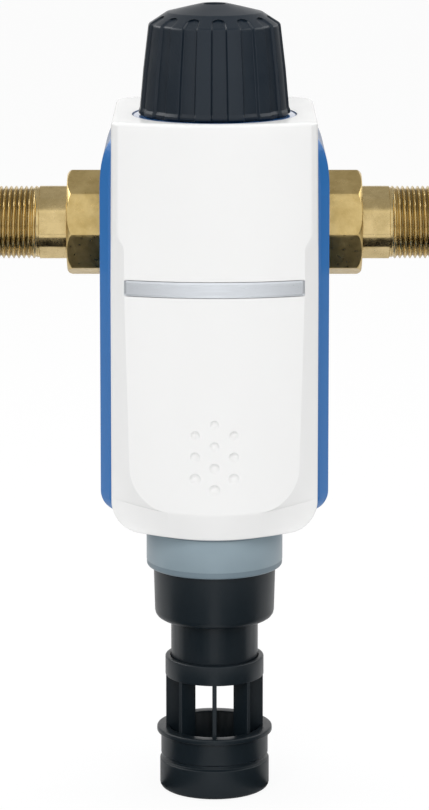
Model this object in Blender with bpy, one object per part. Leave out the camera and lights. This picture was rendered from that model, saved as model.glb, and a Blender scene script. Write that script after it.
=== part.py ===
"""Hand operated self cleaning water filter with an air gap drain funnel.

Units are metres. +X runs along the pipe, +Y away from the front cover and +Z up.
The origin is the middle of the pipe axis; the filter's own upright axis stands in front of it.
"""

import math

import bmesh
import bpy
from mathutils import Matrix

GAP = 0.0003
MERGE = 0.000001
ROUND = 24
MEDIUM = 20
SMALL = 10
SLIM = 12

# Where the filter stands on the pipe
FILTER_Y = -0.026
FILTER_AXIS = (0.0, FILTER_Y, 0.0)

# Filter head with its two pipe ports
HEAD_RADIUS = 0.031
HEAD_RISE = 0.0345
HEAD_DROP = 0.0357
HEAD_MOUTH_RADIUS = 0.0161
HEAD_LID_THICKNESS = 0.009
CHAMBER_RADIUS = 0.020
PARTITION_WALL = 0.0017
CHANNEL_WIDTH = 0.0035
CHANNEL_HEIGHT = 0.018
CAGE_SOCKET_DEPTH = 0.010
PORT_RADIUS = 0.0208
PORT_REACH = 0.054
PORT_BORE_RADIUS = 0.013
TRANSFER_RADIUS = 0.0034

# Bonnet that closes the head round the spindle
BONNET_RADIUS = 0.030
BONNET_FLANGE = 0.0065
BONNET_PLUG_DEPTH = 0.008
BONNET_BOSS_RADIUS = 0.011
BONNET_BOSS_HEIGHT = 0.008
BONNET_SCREW_CIRCLE = 0.025
BONNET_SCREW_RADIUS = 0.0024
BONNET_SCREW_HEAD_RADIUS = 0.0039
BONNET_SCREW_HEAD_HEIGHT = 0.003
BONNET_SCREW_LENGTH = 0.012
BONNET_SCREW_SOCKET = 0.0016
BONNET_RING_WIRE = 0.00085

# Spindle and its two sealing rings
SPINDLE_RADIUS = 0.005
SPINDLE_CLEARANCE = 0.0005
SPINDLE_KEY_RADIUS = 0.0039
SPINDLE_KEY_LENGTH = 0.007
SPINDLE_COLLAR_RADIUS = 0.0075
SPINDLE_COLLAR_HEIGHT = 0.003
SPINDLE_RING_WIRE = 0.00065
SPINDLE_RING_GROOVE = 0.0014
SPINDLE_RING_SPACING = 0.008

# Hand knob and its screw
KNOB_HEIGHT = 0.0494
KNOB_BASE_RADIUS = 0.0334
KNOB_LIP = 0.0006
KNOB_LIP_HEIGHT = 0.003
KNOB_BULGE = 0.0004
KNOB_EDGE = 0.001
KNOB_SHOULDER_RADIUS = 0.0295
KNOB_SHOULDER_HEIGHT = 0.0407
KNOB_DOME_RADIUS = 0.0215
KNOB_DOME_HEIGHT = 0.0457
KNOB_WALL = 0.003
KNOB_FLUTES = 14
KNOB_FLUTE_SHARE = 0.56
KNOB_FLUTE_DEPTH = 0.0012
KNOB_FLUTE_TURN = math.radians(-86.0)
KNOB_FLUTE_END_RADIUS = 0.0238
KNOB_HUB_RADIUS = 0.009
KNOB_HUB_LENGTH = 0.035
KNOB_RECESS_RADIUS = 0.005
KNOB_RECESS_DEPTH = 0.0045
KNOB_SCREW_RADIUS = 0.0025
KNOB_SCREW_LENGTH = 0.024
KNOB_SCREW_HEAD_HEIGHT = 0.003
KNOB_SCREW_SOCKET = 0.0018
KNOB_SCREW_EDGE = 0.0004
KNOB_CLEARANCE = 0.0004

# Blue rear shell
SHELL_WALL = 0.0025
SHELL_HALF_WIDTH = 0.0513
SHELL_HEIGHT = 0.1698
SHELL_FRONT = 0.019
SHELL_BACK = 0.037
SHELL_FRONT_BEVEL = 0.004
SHELL_BACK_CORNER = 0.010
SHELL_SHOULDER_INSET = 0.0055
SHELL_SHOULDER_HEIGHT = 0.032
SHELL_FOOT_CORNER = 0.0095
SHELL_LIP = 0.009
SHELL_SLOT_RADIUS = 0.0256
SHELL_SCREW_OFFSET = 0.017
SHELL_SCREW_RADIUS = 0.0016
SHELL_SCREW_HEAD_RADIUS = 0.0034
SHELL_SCREW_HEAD_HEIGHT = 0.0022
SHELL_SCREW_LENGTH = 0.009

# Collar ring between the rear shell and the knob
COLLAR_RADIUS = 0.0367
COLLAR_WALL = 0.0032
COLLAR_HEIGHT = 0.0085
COLLAR_WEB = 0.002
COLLAR_MOUTH_RADIUS = 0.025
COLLAR_DROP = 0.0002

# White front cover
COVER_WALL = 0.0025
COVER_HEIGHT = 0.1881
COVER_REACH = 0.040
COVER_BACK = 0.041
COVER_TOP_HALF_WIDTH = 0.0456
COVER_HALF_WIDTH = 0.04615
COVER_FRONT_BOW_RADIUS = 0.118
COVER_CORNER = 0.011
COVER_FOOT_BOW_RADIUS = 0.200
COVER_FOOT_BOW_LOW = 0.020
COVER_FOOT_BOW_HIGH = 0.075
COVER_FOOT_CUT = 0.0008
COVER_BACK_CORNER = 0.012
COVER_TOP_FILLET = 0.0018
FACE_TOP_HALF_WIDTH = 0.0400
FACE_FOOT_HALF_WIDTH = 0.0374
FACE_CORNER = 0.0165
CHAMFER_HEIGHT = 0.0128
CHAMFER_FOOT_DEPTH = 0.006
CHAMFER_SIDE_DEPTH = 0.004
CHAMFER_FADE_START = 0.0168
CHAMFER_FADE_LENGTH = 0.0075
SOFT_EDGE = 0.003

# Trim strip and dimples on the front cover
STRIP_HALF_LENGTH = 0.0400
STRIP_HEIGHT = 0.0068
STRIP_DROP = 0.0736
STRIP_PROUD = 0.0005
STRIP_SEAT = 0.0007
DIMPLE_ROW_PITCH = 0.00495
DIMPLE_SIDE = 0.0086
DIMPLE_TOP_RADIUS = 0.0018
DIMPLE_FOOT_RADIUS = 0.0024
DIMPLE_DEPTH = 0.0009
DIMPLE_DROP = 0.1340
DIMPLE_ROWS = 7

# Filter bowl, its clamp ring and gaskets
BOWL_RADIUS = 0.0295
BOWL_WALL = 0.0035
BOWL_LENGTH = 0.1095
BOWL_FLANGE_RADIUS = 0.031
BOWL_FLANGE_HEIGHT = 0.0028
GASKET_HEIGHT = 0.0012
CLAMP_WALL = 0.0032
CLAMP_SHOULDER = 0.0036
CLAMP_SKIRT = 0.016
CLAMP_GRIPS = 12
CLAMP_GRIP_DEPTH = 0.0007

# Screen inside the bowl
CAGE_INNER_RADIUS = 0.0203
CAGE_WALL = 0.0022
CAGE_RING_HEIGHT = 0.004
CAGE_POSTS = 6
CAGE_TIERS = 4
MESH_WALL = 0.0005

# Suction rotor
ROTOR_RADIUS = 0.0065
ROTOR_BORE_RADIUS = 0.0046
ROTOR_ARMS = 4
ROTOR_ARM_WIDTH = 0.005
ROTOR_MOUTH_WIDTH = 0.004
ROTOR_MOUTH_DEPTH = 0.0025
ROTOR_HUB_RADIUS = 0.0075
ROTOR_HUB_HEIGHT = 0.012

# Drain cup, partition and plug
CUP_RADIUS = 0.02785
CUP_FOOT_RADIUS = 0.0271
CUP_DEPTH = 0.0294
CUP_CORNER = 0.005
CUP_FLOOR = 0.004
CUP_FLANGE_HEIGHT = 0.0024
CUP_WALL = 0.0038
CUP_CHAMBER_RADIUS = 0.022
CUP_CHAMBER_HEIGHT = 0.009
PARTITION_HEIGHT = 0.003
PARTITION_HUB_RADIUS = 0.0105
PARTITION_HUB_RISE = 0.003
DRAIN_SEAT_RADIUS = 0.0085
PLUG_RADIUS = 0.013
PLUG_HEIGHT = 0.0026
PLUG_STEM_RADIUS = 0.0043
PLUG_STEM_LENGTH = 0.024
PLUG_SEAL_HEIGHT = 0.001

# Ring that carries the drain cup
RING_RADIUS = 0.031
RING_HEIGHT = 0.034
RING_SHOULDER = 0.0022
RING_FOOT_ROUND = 0.0025
RING_CLEARANCE = 0.0006

# Outlet neck under the cup
NECK_RADIUS = 0.01985
NECK_BORE_RADIUS = 0.012
NECK_LENGTH = 0.0255
NECK_BEAD = 0.0007
NECK_BEAD_HEIGHT = 0.0025
NECK_BEAD_DROP = 0.0232

# Drain funnel with its air gap
FUNNEL_RING_RADIUS = 0.0225
FUNNEL_RING_HEIGHT = 0.0078
FUNNEL_RING_EDGE = 0.0008
FUNNEL_RIBS = 8
FUNNEL_RIB_THICKNESS = 0.002
FUNNEL_RIB_OUTER = 0.0222
FUNNEL_RIB_INNER = 0.0131
AIR_GAP_HEIGHT = 0.0254
FUNNEL_FLANGE_RADIUS = 0.02635
FUNNEL_FLANGE_HEIGHT = 0.0025
FUNNEL_FLANGE_EDGE = 0.0005
FUNNEL_MOUTH_RADIUS = 0.0208
FUNNEL_THROAT_RADIUS = 0.0186
FUNNEL_THROAT_DROP = 0.0125
FUNNEL_THROAT_LENGTH = 0.002
FUNNEL_THROAT_RELIEF = 0.003
SPIGOT_UPPER_RADIUS = 0.0245
SPIGOT_RADIUS = 0.025
SPIGOT_LENGTH = 0.026
SPIGOT_GROOVE_DROP = 0.010
SPIGOT_GROOVE_HEIGHT = 0.0027
SPIGOT_GROOVE_DEPTH = 0.0012
SPIGOT_GROOVE_EDGE = 0.0006
SPIGOT_BORE_RADIUS = 0.0210
SPIGOT_FOOT_ROUND = 0.0026

# Pipe unions
NUT_CORNER_RADIUS = 0.02465
NUT_SIDES = 8
NUT_TURN = math.radians(-5.0)
NUT_LENGTH = 0.027
NUT_CHAMFER = 0.003
NUT_EDGE = 0.001
NUT_SHOULDER = 0.0038
NUT_THREAD_CLEARANCE = 0.0004
NIPPLE_COLLAR_RADIUS = 0.0204
NIPPLE_COLLAR_LENGTH = 0.0063
NIPPLE_RADIUS = 0.01662
NIPPLE_NECK_LENGTH = 0.0047
NIPPLE_FLATS = 6
NIPPLE_FLAT_DISTANCE = 0.0157
NIPPLE_FLATS_LENGTH = 0.012
NIPPLE_FLATS_TURN = math.radians(5.7)
NIPPLE_THREAD_LENGTH = 0.0204
NIPPLE_BORE_RADIUS = 0.0125
NIPPLE_END_CHAMFER = 0.0012
THREAD_ROOT_STEP = 0.0006
THREAD_RELIEF_LENGTH = 0.0016
UNION_GASKET_HEIGHT = 0.002

# Stations up from the pipe axis
HEAD_TOP_Z = HEAD_RISE
BONNET_TOP_Z = HEAD_TOP_Z + GAP + BONNET_FLANGE
SHELL_TOP_Z = BONNET_TOP_Z + GAP + SHELL_WALL
COLLAR_TOP_Z = SHELL_TOP_Z + GAP + COLLAR_HEIGHT
COVER_TOP_Z = COLLAR_TOP_Z + COLLAR_DROP
KNOB_FOOT_Z = COLLAR_TOP_Z + KNOB_CLEARANCE
KNOB_TOP_Z = KNOB_FOOT_Z + KNOB_HEIGHT
SPINDLE_TOP_Z = KNOB_FOOT_Z + KNOB_SHOULDER_HEIGHT - GAP

# Stations down from the pipe axis
HEAD_FOOT_Z = -HEAD_DROP
BOWL_TOP_Z = HEAD_FOOT_Z - GASKET_HEIGHT - 2 * GAP
BOWL_FOOT_Z = BOWL_TOP_Z - BOWL_LENGTH
CUP_TOP_Z = BOWL_FOOT_Z - GASKET_HEIGHT - 2 * GAP
CUP_FOOT_Z = CUP_TOP_Z - CUP_DEPTH
CUP_FLOOR_Z = CUP_FOOT_Z + CUP_FLOOR
RING_FOOT_Z = CUP_TOP_Z - CUP_FLANGE_HEIGHT - GAP - RING_SHOULDER
PARTITION_FOOT_Z = CUP_FLOOR_Z + CUP_CHAMBER_HEIGHT + GAP
PARTITION_TOP_Z = PARTITION_FOOT_Z + PARTITION_HEIGHT
CAGE_FOOT_Z = PARTITION_TOP_Z + GAP
CAGE_TOP_Z = HEAD_FOOT_Z + CAGE_SOCKET_DEPTH - GAP
ROTOR_TOP_Z = CAGE_TOP_Z
NECK_FOOT_Z = CUP_FOOT_Z - NECK_LENGTH
RIB_TOP_Z = NECK_FOOT_Z - GAP
FLANGE_TOP_Z = RIB_TOP_Z - AIR_GAP_HEIGHT
FLANGE_FOOT_Z = FLANGE_TOP_Z - FUNNEL_FLANGE_HEIGHT
SPIGOT_FOOT_Z = FLANGE_FOOT_Z - SPIGOT_LENGTH
COVER_FOOT_Z = COVER_TOP_Z - COVER_HEIGHT
SHELL_FOOT_Z = SHELL_TOP_Z - SHELL_HEIGHT
FACE_FOOT_Z = COVER_FOOT_Z + CHAMFER_HEIGHT
STRIP_MIDDLE_Z = COVER_TOP_Z - STRIP_DROP
FADE_LOW_Z = STRIP_MIDDLE_Z + CHAMFER_FADE_START
FADE_HIGH_Z = FADE_LOW_Z + CHAMFER_FADE_LENGTH

# Places worked out across the filter axis
SHELL_FRONT_Y = FILTER_Y - SHELL_FRONT
COVER_FRONT_Y = FILTER_Y - COVER_REACH
COVER_SEAM_Y = SHELL_FRONT_Y - GAP
RING_HOLE_RADIUS = RING_RADIUS + RING_CLEARANCE
BOWL_SEAT_RADIUS = BOWL_RADIUS + GAP
CAGE_OUTER_RADIUS = CAGE_INNER_RADIUS + CAGE_WALL
CAGE_SOCKET_RADIUS = CAGE_OUTER_RADIUS + GAP
CHANNEL_INNER_RADIUS = CAGE_SOCKET_RADIUS + PARTITION_WALL
CHANNEL_OUTER_RADIUS = CHANNEL_INNER_RADIUS + CHANNEL_WIDTH
MESH_RADIUS = CAGE_INNER_RADIUS - GAP
BONNET_BORE_RADIUS = SPINDLE_RADIUS + SPINDLE_CLEARANCE

WHITE = (0.88, 0.88, 0.87)
BLUE = (0.035, 0.155, 0.45)
SLATE = (0.028, 0.036, 0.045)
CHARCOAL = (0.022, 0.027, 0.032)
SILVER = (0.52, 0.55, 0.58)
RING_GREY = (0.26, 0.32, 0.37)
BRASS = (0.60, 0.50, 0.28)
STEEL = (0.62, 0.62, 0.63)
BLACK_RUBBER = (0.012, 0.012, 0.013)
FIBRE_RED = (0.30, 0.08, 0.05)
CLEAR_PLASTIC = (0.55, 0.62, 0.66)
NATURAL_PLASTIC = (0.60, 0.60, 0.55)


def clear_scene():
    """Remove whatever the scene holds."""
    for item in list(bpy.data.objects):
        bpy.data.objects.remove(item, do_unlink=True)


def finish(name, colour, roughness, metallic=0.0):
    """Return a plain Principled material."""
    material = bpy.data.materials.new(name)
    material.use_nodes = True
    shader = material.node_tree.nodes["Principled BSDF"]
    shader.inputs["Base Color"].default_value = (*colour, 1.0)
    shader.inputs["Roughness"].default_value = roughness
    shader.inputs["Metallic"].default_value = metallic
    return material


def placed(name, bm, at=(0.0, 0.0, 0.0)):
    """Turn a bmesh into an object of the scene at the given place."""
    bmesh.ops.recalc_face_normals(bm, faces=bm.faces)
    mesh = bpy.data.meshes.new(name)
    bm.to_mesh(mesh)
    bm.free()
    item = bpy.data.objects.new(name, mesh)
    item.location = at
    bpy.context.scene.collection.objects.link(item)
    return item


def dressed(item, material, angle=35.0):
    """Give a finished piece its material and smooth shading."""
    item.data.materials.clear()
    item.data.materials.append(material)
    item.data.shade_smooth()
    item.data.set_sharp_from_angle(angle=math.radians(angle))
    return item


def combined(target, tool, operation):
    """Join, cut or keep the overlap of two solids, and remove the tool."""
    modifier = target.modifiers.new("shape", "BOOLEAN")
    modifier.operation = operation
    modifier.solver = "EXACT"
    modifier.object = tool
    bpy.context.view_layer.update()
    graph = bpy.context.evaluated_depsgraph_get()
    shape = bpy.data.meshes.new_from_object(target.evaluated_get(graph))
    target.modifiers.clear()
    target.data = shape
    bpy.data.objects.remove(tool, do_unlink=True)
    return target


def carved(target, tools):
    """Cut each tool out of the target."""
    for tool in tools:
        combined(target, tool, "DIFFERENCE")
    return target


def fused(target, tools):
    """Join each tool to the target."""
    for tool in tools:
        combined(target, tool, "UNION")
    return target


def turned(name, profile, at=FILTER_AXIS, sides=ROUND, solid=False, along="Z", start=0.0):
    """Spin (radius, station) points round an axis.

    A solid profile starts and ends on the axis; any other one is a closed loop.
    """
    bm = bmesh.new()
    points = [bm.verts.new((radius, 0.0, station)) for radius, station in profile]
    edges = [bm.edges.new(pair) for pair in zip(points, points[1:])]
    if not solid:
        edges.append(bm.edges.new((points[-1], points[0])))
    bmesh.ops.spin(bm, geom=points + edges, cent=(0, 0, 0), axis=(0, 0, 1),
                   angle=math.tau, steps=sides, use_duplicate=False)
    bmesh.ops.remove_doubles(bm, verts=bm.verts, dist=MERGE)
    bm.transform(Matrix.Rotation(start, 4, "Z"))
    if along == "X":
        bm.transform(Matrix.Rotation(math.radians(90), 4, "Y"))
    return placed(name, bm, at)


def cylinder(radius, low, high, at=FILTER_AXIS, sides=MEDIUM, along="Z"):
    """Plain round tool from one station to another."""
    profile = [(0.0, low), (radius, low), (radius, high), (0.0, high)]
    return turned("tool", profile, at, sides, solid=True, along=along)


def block(low, high, at=(0.0, 0.0, 0.0), turn=0.0):
    """Box between two corners, turned about the upright axis of its place."""
    bm = bmesh.new()
    bmesh.ops.create_cube(bm, size=1.0)
    for vert in bm.verts:
        for axis in range(3):
            vert.co[axis] = high[axis] if vert.co[axis] > 0 else low[axis]
    bm.transform(Matrix.Rotation(turn, 4, "Z"))
    return placed("tool", bm, at)


def prism(corner_radius, sides, low, high, turn):
    """Many sided bar along X with one corner at the given angle above the front."""
    bm = bmesh.new()
    rings = []
    for station in (low, high):
        ring = []
        for index in range(sides):
            angle = turn + math.tau * index / sides
            across = (-corner_radius * math.cos(angle), corner_radius * math.sin(angle))
            ring.append(bm.verts.new((station, *across)))
        rings.append(ring)
    joined(bm, rings)
    return placed("tool", bm)


def joined(bm, rings):
    """Skin a stack of equal rings and close both ends."""
    for lower, upper in zip(rings, rings[1:]):
        count = len(lower)
        for index in range(count):
            after = (index + 1) % count
            bm.faces.new((lower[index], lower[after], upper[after], upper[index]))
    bm.faces.new(rings[0][::-1])
    bm.faces.new(rings[-1])


def lofted(name, rings, at=(0.0, 0.0, 0.0)):
    """Closed solid through a stack of rings of points."""
    bm = bmesh.new()
    joined(bm, [[bm.verts.new(point) for point in ring] for ring in rings])
    return placed(name, bm, at)


def sealing_ring(name, radius, wire, station, sides=MEDIUM):
    """Round cord ring about the filter axis."""
    profile = []
    for index in range(6):
        angle = math.tau * index / 6
        profile.append((radius + wire * math.cos(angle), station + wire * math.sin(angle)))
    return turned(name, profile, sides=sides)


def flat_ring(name, inner, outer, low, high, sides=ROUND):
    """Flat washer or band about the filter axis."""
    return turned(name, [(inner, low), (outer, low), (outer, high), (inner, high)], sides=sides)


def arc(centre, radius, first, last, steps):
    """Points of an arc in a turning profile, angles in degrees."""
    points = []
    for index in range(steps + 1):
        angle = math.radians(first + (last - first) * index / steps)
        points.append((centre[0] + radius * math.cos(angle), centre[1] + radius * math.sin(angle)))
    return points


def blended(value, low, high):
    """Share of the way from low to high, eased at both ends."""
    share = min(1.0, max(0.0, (value - low) / (high - low)))
    return share * share * (3.0 - 2.0 * share)


def corner_pull(height, foot, radius):
    """How far a round lower corner pulls a side in at this height."""
    drop = foot + radius - height
    if drop <= 0.0:
        return 0.0
    return radius - math.sqrt(max(0.0, radius * radius - drop * drop))


# Front cover

def cover_half_width(height):
    """Half width of the front cover at a height."""
    share = min(1.0, (COVER_TOP_Z - height) / STRIP_DROP)
    width = COVER_TOP_HALF_WIDTH + (COVER_HALF_WIDTH - COVER_TOP_HALF_WIDTH) * share
    return width - corner_pull(height, COVER_FOOT_Z, COVER_CORNER)


def face_half_width(height):
    """Half width of the inner front face that the chamfer frames."""
    share = min(1.0, max(0.0, (STRIP_MIDDLE_Z - height) / (STRIP_MIDDLE_Z - FACE_FOOT_Z)))
    width = FACE_TOP_HALF_WIDTH + (FACE_FOOT_HALF_WIDTH - FACE_TOP_HALF_WIDTH) * share
    return width - corner_pull(max(height, FACE_FOOT_Z), FACE_FOOT_Z, FACE_CORNER)


def front_bow(across):
    """Depth of the bowed front at a distance from the middle."""
    return COVER_FRONT_Y + across * across / (2.0 * COVER_FRONT_BOW_RADIUS)


def foot_lift(across, height):
    """How far the cover's bowed foot is raised at a distance from the middle."""
    low = COVER_FOOT_Z + COVER_FOOT_BOW_LOW
    high = COVER_FOOT_Z + COVER_FOOT_BOW_HIGH
    return across * across / (2.0 * COVER_FOOT_BOW_RADIUS) * (1.0 - blended(height, low, high))


def below_foot(level):
    """Solid under the cover's bowed foot, with its top at this level in the middle."""
    rings = []
    reach = COVER_HALF_WIDTH + COVER_CORNER
    low = COVER_FOOT_Z - COVER_HEIGHT
    for index in range(17):
        across = reach * (index / 8 - 1.0)
        top = level + across * across / (2.0 * COVER_FOOT_BOW_RADIUS)
        rings.append([(across, -COVER_HEIGHT, low), (across, COVER_HEIGHT, low),
                      (across, COVER_HEIGHT, top), (across, -COVER_HEIGHT, top)])
    return lofted("tool", rings)


def cover_ring(height, inset):
    """Outline of the front cover seen from above at one height."""
    fade = blended(height, FADE_LOW_Z, FADE_HIGH_Z)
    side = cover_half_width(height)
    face = face_half_width(height) * (1.0 - fade) + (side - SOFT_EDGE) * fade
    recess = CHAMFER_FOOT_DEPTH * max(0.0, FACE_FOOT_Z - height) / CHAMFER_HEIGHT
    sharp_edge = front_bow(side) + CHAMFER_SIDE_DEPTH
    soft_edge = front_bow(side - SOFT_EDGE) + SOFT_EDGE
    edge = sharp_edge * (1.0 - fade) + soft_edge * fade
    half = []
    for index in range(6):
        across = face * index / 5
        half.append((across * (1.0 - 0.5 * inset / face), front_bow(across) + recess + inset))
    half.append((side - inset, max(edge, half[-1][1] + 0.3 * SOFT_EDGE)))
    half.append((side - inset, COVER_BACK - COVER_BACK_CORNER))
    for angle in (30, 60, 90):
        turn = math.radians(angle)
        across = side - COVER_BACK_CORNER + (COVER_BACK_CORNER - inset) * math.cos(turn)
        half.append((across, COVER_BACK - COVER_BACK_CORNER + (COVER_BACK_CORNER - inset) * math.sin(turn)))
    return mirrored_ring(half, height)


def mirrored_ring(half, height):
    """Full outline from the points of its +X half, front middle first."""
    right = [(across, along, height + foot_lift(across, height)) for across, along in half]
    left = [(-across, along, level) for across, along, level in reversed(right[1:])]
    return right + left


def cover_heights():
    """Heights at which the cover's outline is taken, foot to top."""
    foot = COVER_FOOT_Z
    rows = [foot + COVER_CORNER * (1.0 - math.cos(math.radians(a))) for a in (0, 20, 38, 56)]
    rows += [FACE_FOOT_Z + FACE_CORNER * (1.0 - math.cos(math.radians(a))) for a in (0, 22, 40, 62, 90)]
    rows += [STRIP_MIDDLE_Z - STRIP_HEIGHT, STRIP_MIDDLE_Z + STRIP_HEIGHT]
    rows += [FADE_LOW_Z, 0.5 * (FADE_LOW_Z + FADE_HIGH_Z), FADE_HIGH_Z]
    rows.append(0.5 * (FADE_HIGH_Z + COVER_TOP_Z))
    return sorted(rows)


def cover_body(inset, stride=1):
    """Closed cover form, grown in by a wall where it is the hollow."""
    foot = COVER_FOOT_Z + inset
    top = COVER_TOP_Z - inset
    rows = [height for height in cover_heights() if foot + MERGE < height < top - COVER_TOP_FILLET][::stride]
    under = cover_ring(foot - COVER_FOOT_CUT, inset)
    rings = [[(across, along, foot - COVER_CORNER) for across, along, _ in under], under]
    rings += [cover_ring(height, inset) for height in rows]
    for angle in (0, 45, 90):
        turn = math.radians(angle)
        height = top - COVER_TOP_FILLET * (1.0 - math.sin(turn))
        rings.append(cover_ring(height, inset + COVER_TOP_FILLET * (1.0 - math.cos(turn))))
    body = lofted("front_cover", rings)
    carved(body, [below_foot(foot)])
    return body


def strip_body(name, half_length, half_height, proud, seat):
    """Band that follows the bowed front between two depths."""
    rings = []
    for index in range(11):
        across = half_length * (index / 5 - 1.0)
        outer = front_bow(across) - proud
        inner = front_bow(across) + seat
        rings.append([(across, outer, STRIP_MIDDLE_Z - half_height),
                      (across, inner, STRIP_MIDDLE_Z - half_height),
                      (across, inner, STRIP_MIDDLE_Z + half_height),
                      (across, outer, STRIP_MIDDLE_Z + half_height)])
    return lofted(name, rings)


def dimple(across, height, radius):
    """Round-nosed tool that presses one shallow dimple into the front."""
    profile = [(0.0, -DIMPLE_DEPTH), (0.62 * radius, -0.66 * DIMPLE_DEPTH), (radius, 0.0)]
    profile += [(radius * 1.3, DIMPLE_DEPTH), (0.0, DIMPLE_DEPTH)]
    tool = turned("tool", profile, (across, front_bow(across), height), SMALL, solid=True)
    tool.rotation_euler = (math.radians(90), 0.0, 0.0)
    return tool


def dimples():
    """Ten dimples in rows of one and two, growing downwards."""
    tools = []
    for row in range(DIMPLE_ROWS):
        share = row / (DIMPLE_ROWS - 1)
        radius = DIMPLE_TOP_RADIUS + (DIMPLE_FOOT_RADIUS - DIMPLE_TOP_RADIUS) * share
        height = COVER_TOP_Z - DIMPLE_DROP - row * DIMPLE_ROW_PITCH
        places = (0.0,) if row % 2 == 0 else (-DIMPLE_SIDE, DIMPLE_SIDE)
        tools += [dimple(across, height, radius) for across in places]
    return tools


def make_front_cover(material):
    """White cover over the front and the top of the filter."""
    cover = cover_body(0.0)
    far = 2.0 * COVER_BACK
    seam_top = SHELL_TOP_Z + GAP
    tools = [cover_body(COVER_WALL, 2)]
    tools.append(block((-far, COVER_SEAM_Y, COVER_FOOT_Z - far), (far, far, seam_top)))
    tools.append(cylinder(COLLAR_RADIUS + GAP, SHELL_TOP_Z + GAP, COVER_TOP_Z + GAP * 4, sides=ROUND))
    tools.append(cylinder(RING_HOLE_RADIUS, COVER_FOOT_Z - GAP, COVER_FOOT_Z + COVER_CORNER, sides=ROUND))
    tools.append(strip_body("tool", STRIP_HALF_LENGTH + GAP, STRIP_HEIGHT / 2 + GAP,
                            STRIP_PROUD * 2, STRIP_SEAT + GAP))
    carved(cover, tools + dimples())
    return dressed(cover, material, 28.0)


def make_trim_strip(material):
    """Metal strip let into the front of the cover."""
    strip = strip_body("trim_strip", STRIP_HALF_LENGTH, STRIP_HEIGHT / 2, STRIP_PROUD, STRIP_SEAT)
    return dressed(strip, material)


# Rear shell and collar

def shell_half_width(height):
    """Half width of the rear shell, drawn in at the shoulder and the foot."""
    rise = max(0.0, height - (SHELL_TOP_Z - SHELL_SHOULDER_HEIGHT)) / SHELL_SHOULDER_HEIGHT
    shoulder = SHELL_SHOULDER_INSET * rise ** 4
    return SHELL_HALF_WIDTH - shoulder - corner_pull(height, SHELL_FOOT_Z, SHELL_FOOT_CORNER)


def shell_ring(height, inset):
    """Outline of the rear shell seen from above at one height."""
    side = shell_half_width(height)
    bevel = SHELL_FRONT_BEVEL
    corner = SHELL_BACK_CORNER
    half = [(0.0, SHELL_FRONT_Y + inset), (side - bevel - 0.4 * inset, SHELL_FRONT_Y + inset)]
    half.append((side - inset, SHELL_FRONT_Y + bevel + 0.4 * inset))
    for angle in (0, 45, 90):
        turn = math.radians(angle)
        across = side - corner + (corner - inset) * math.cos(turn)
        half.append((across, SHELL_BACK - corner + (corner - inset) * math.sin(turn)))
    half.append((0.0, SHELL_BACK - inset))
    return closed_ring(half, height)


def closed_ring(half, height):
    """Full outline from a +X half whose two ends lie on the middle plane."""
    right = [(across, along, height) for across, along in half]
    left = [(-across, along, height) for across, along in reversed(half[1:-1])]
    return right + left


def shell_body(inset):
    """Closed rear shell form, grown in by a wall where it is the hollow."""
    foot = SHELL_FOOT_Z + inset
    top = SHELL_TOP_Z - inset
    rows = [SHELL_FOOT_Z + SHELL_FOOT_CORNER * (1.0 - math.cos(math.radians(a))) for a in (25, 45, 65, 90)]
    rows += [SHELL_TOP_Z - SHELL_SHOULDER_HEIGHT * share for share in (1.0, 0.7, 0.5, 0.32, 0.16)]
    rows = [height for height in rows if foot + MERGE < height < top - MERGE]
    return lofted("rear_shell", [shell_ring(height, inset) for height in [foot] + rows + [top]])


def shell_mouth_half_width():
    """Half width of the openings inside the rear shell's front and back lips."""
    return SHELL_HALF_WIDTH - SHELL_SHOULDER_INSET - SHELL_LIP


def side_slot(side):
    """Tool for the pipe slot that runs out of the back of one side wall."""
    low = shell_mouth_half_width() - GAP
    high = SHELL_HALF_WIDTH + SHELL_WALL
    stations = sorted((side * low, side * high))
    slot = cylinder(SHELL_SLOT_RADIUS, *stations, at=(0, 0, 0), sides=ROUND, along="X")
    reach = block((stations[0], 0.0, -SHELL_SLOT_RADIUS), (stations[1], 2 * SHELL_BACK, SHELL_SLOT_RADIUS))
    return combined(slot, reach, "UNION")


def make_rear_shell(material):
    """Blue shell behind the cover, open to the front and the back inside a lip."""
    shell = shell_body(0.0)
    low = SHELL_FOOT_Z + SHELL_LIP
    high = SHELL_TOP_Z - SHELL_LIP
    side = shell_mouth_half_width()
    middle = 0.5 * (SHELL_FRONT_Y + SHELL_BACK)
    reach = SHELL_BACK - SHELL_FRONT_Y
    tools = [shell_body(SHELL_WALL)]
    tools.append(block((-side, SHELL_FRONT_Y - reach, low), (side, middle, SHELL_TOP_Z - SHELL_WALL)))
    tools.append(block((-side, middle, low), (side, SHELL_BACK + reach, high)))
    tools += [side_slot(-1), side_slot(1)]
    tools.append(cylinder(RING_HOLE_RADIUS, SHELL_FOOT_Z - GAP, SHELL_FOOT_Z + SHELL_LIP, sides=ROUND))
    boss_hole = BONNET_BOSS_RADIUS + 3 * GAP
    tools.append(cylinder(boss_hole, BONNET_TOP_Z - GAP, SHELL_TOP_Z + GAP))
    for side in (-1, 1):
        place = (side * SHELL_SCREW_OFFSET, FILTER_Y, 0.0)
        tools.append(cylinder(SHELL_SCREW_RADIUS + GAP, BONNET_TOP_Z - GAP, SHELL_TOP_Z + GAP, place, SMALL))
    carved(shell, tools)
    return dressed(shell, material, 25.0)


def make_top_collar(material):
    """Blue ring that fills the cover's round opening under the knob."""
    foot = SHELL_TOP_Z + GAP
    inner = COLLAR_RADIUS - COLLAR_WALL
    profile = [(COLLAR_RADIUS, foot), (COLLAR_RADIUS, COLLAR_TOP_Z), (COLLAR_MOUTH_RADIUS, COLLAR_TOP_Z)]
    profile += [(COLLAR_MOUTH_RADIUS, COLLAR_TOP_Z - COLLAR_WEB), (inner, COLLAR_TOP_Z - COLLAR_WEB)]
    profile.append((inner, foot))
    return dressed(turned("top_collar", profile), material)


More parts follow.
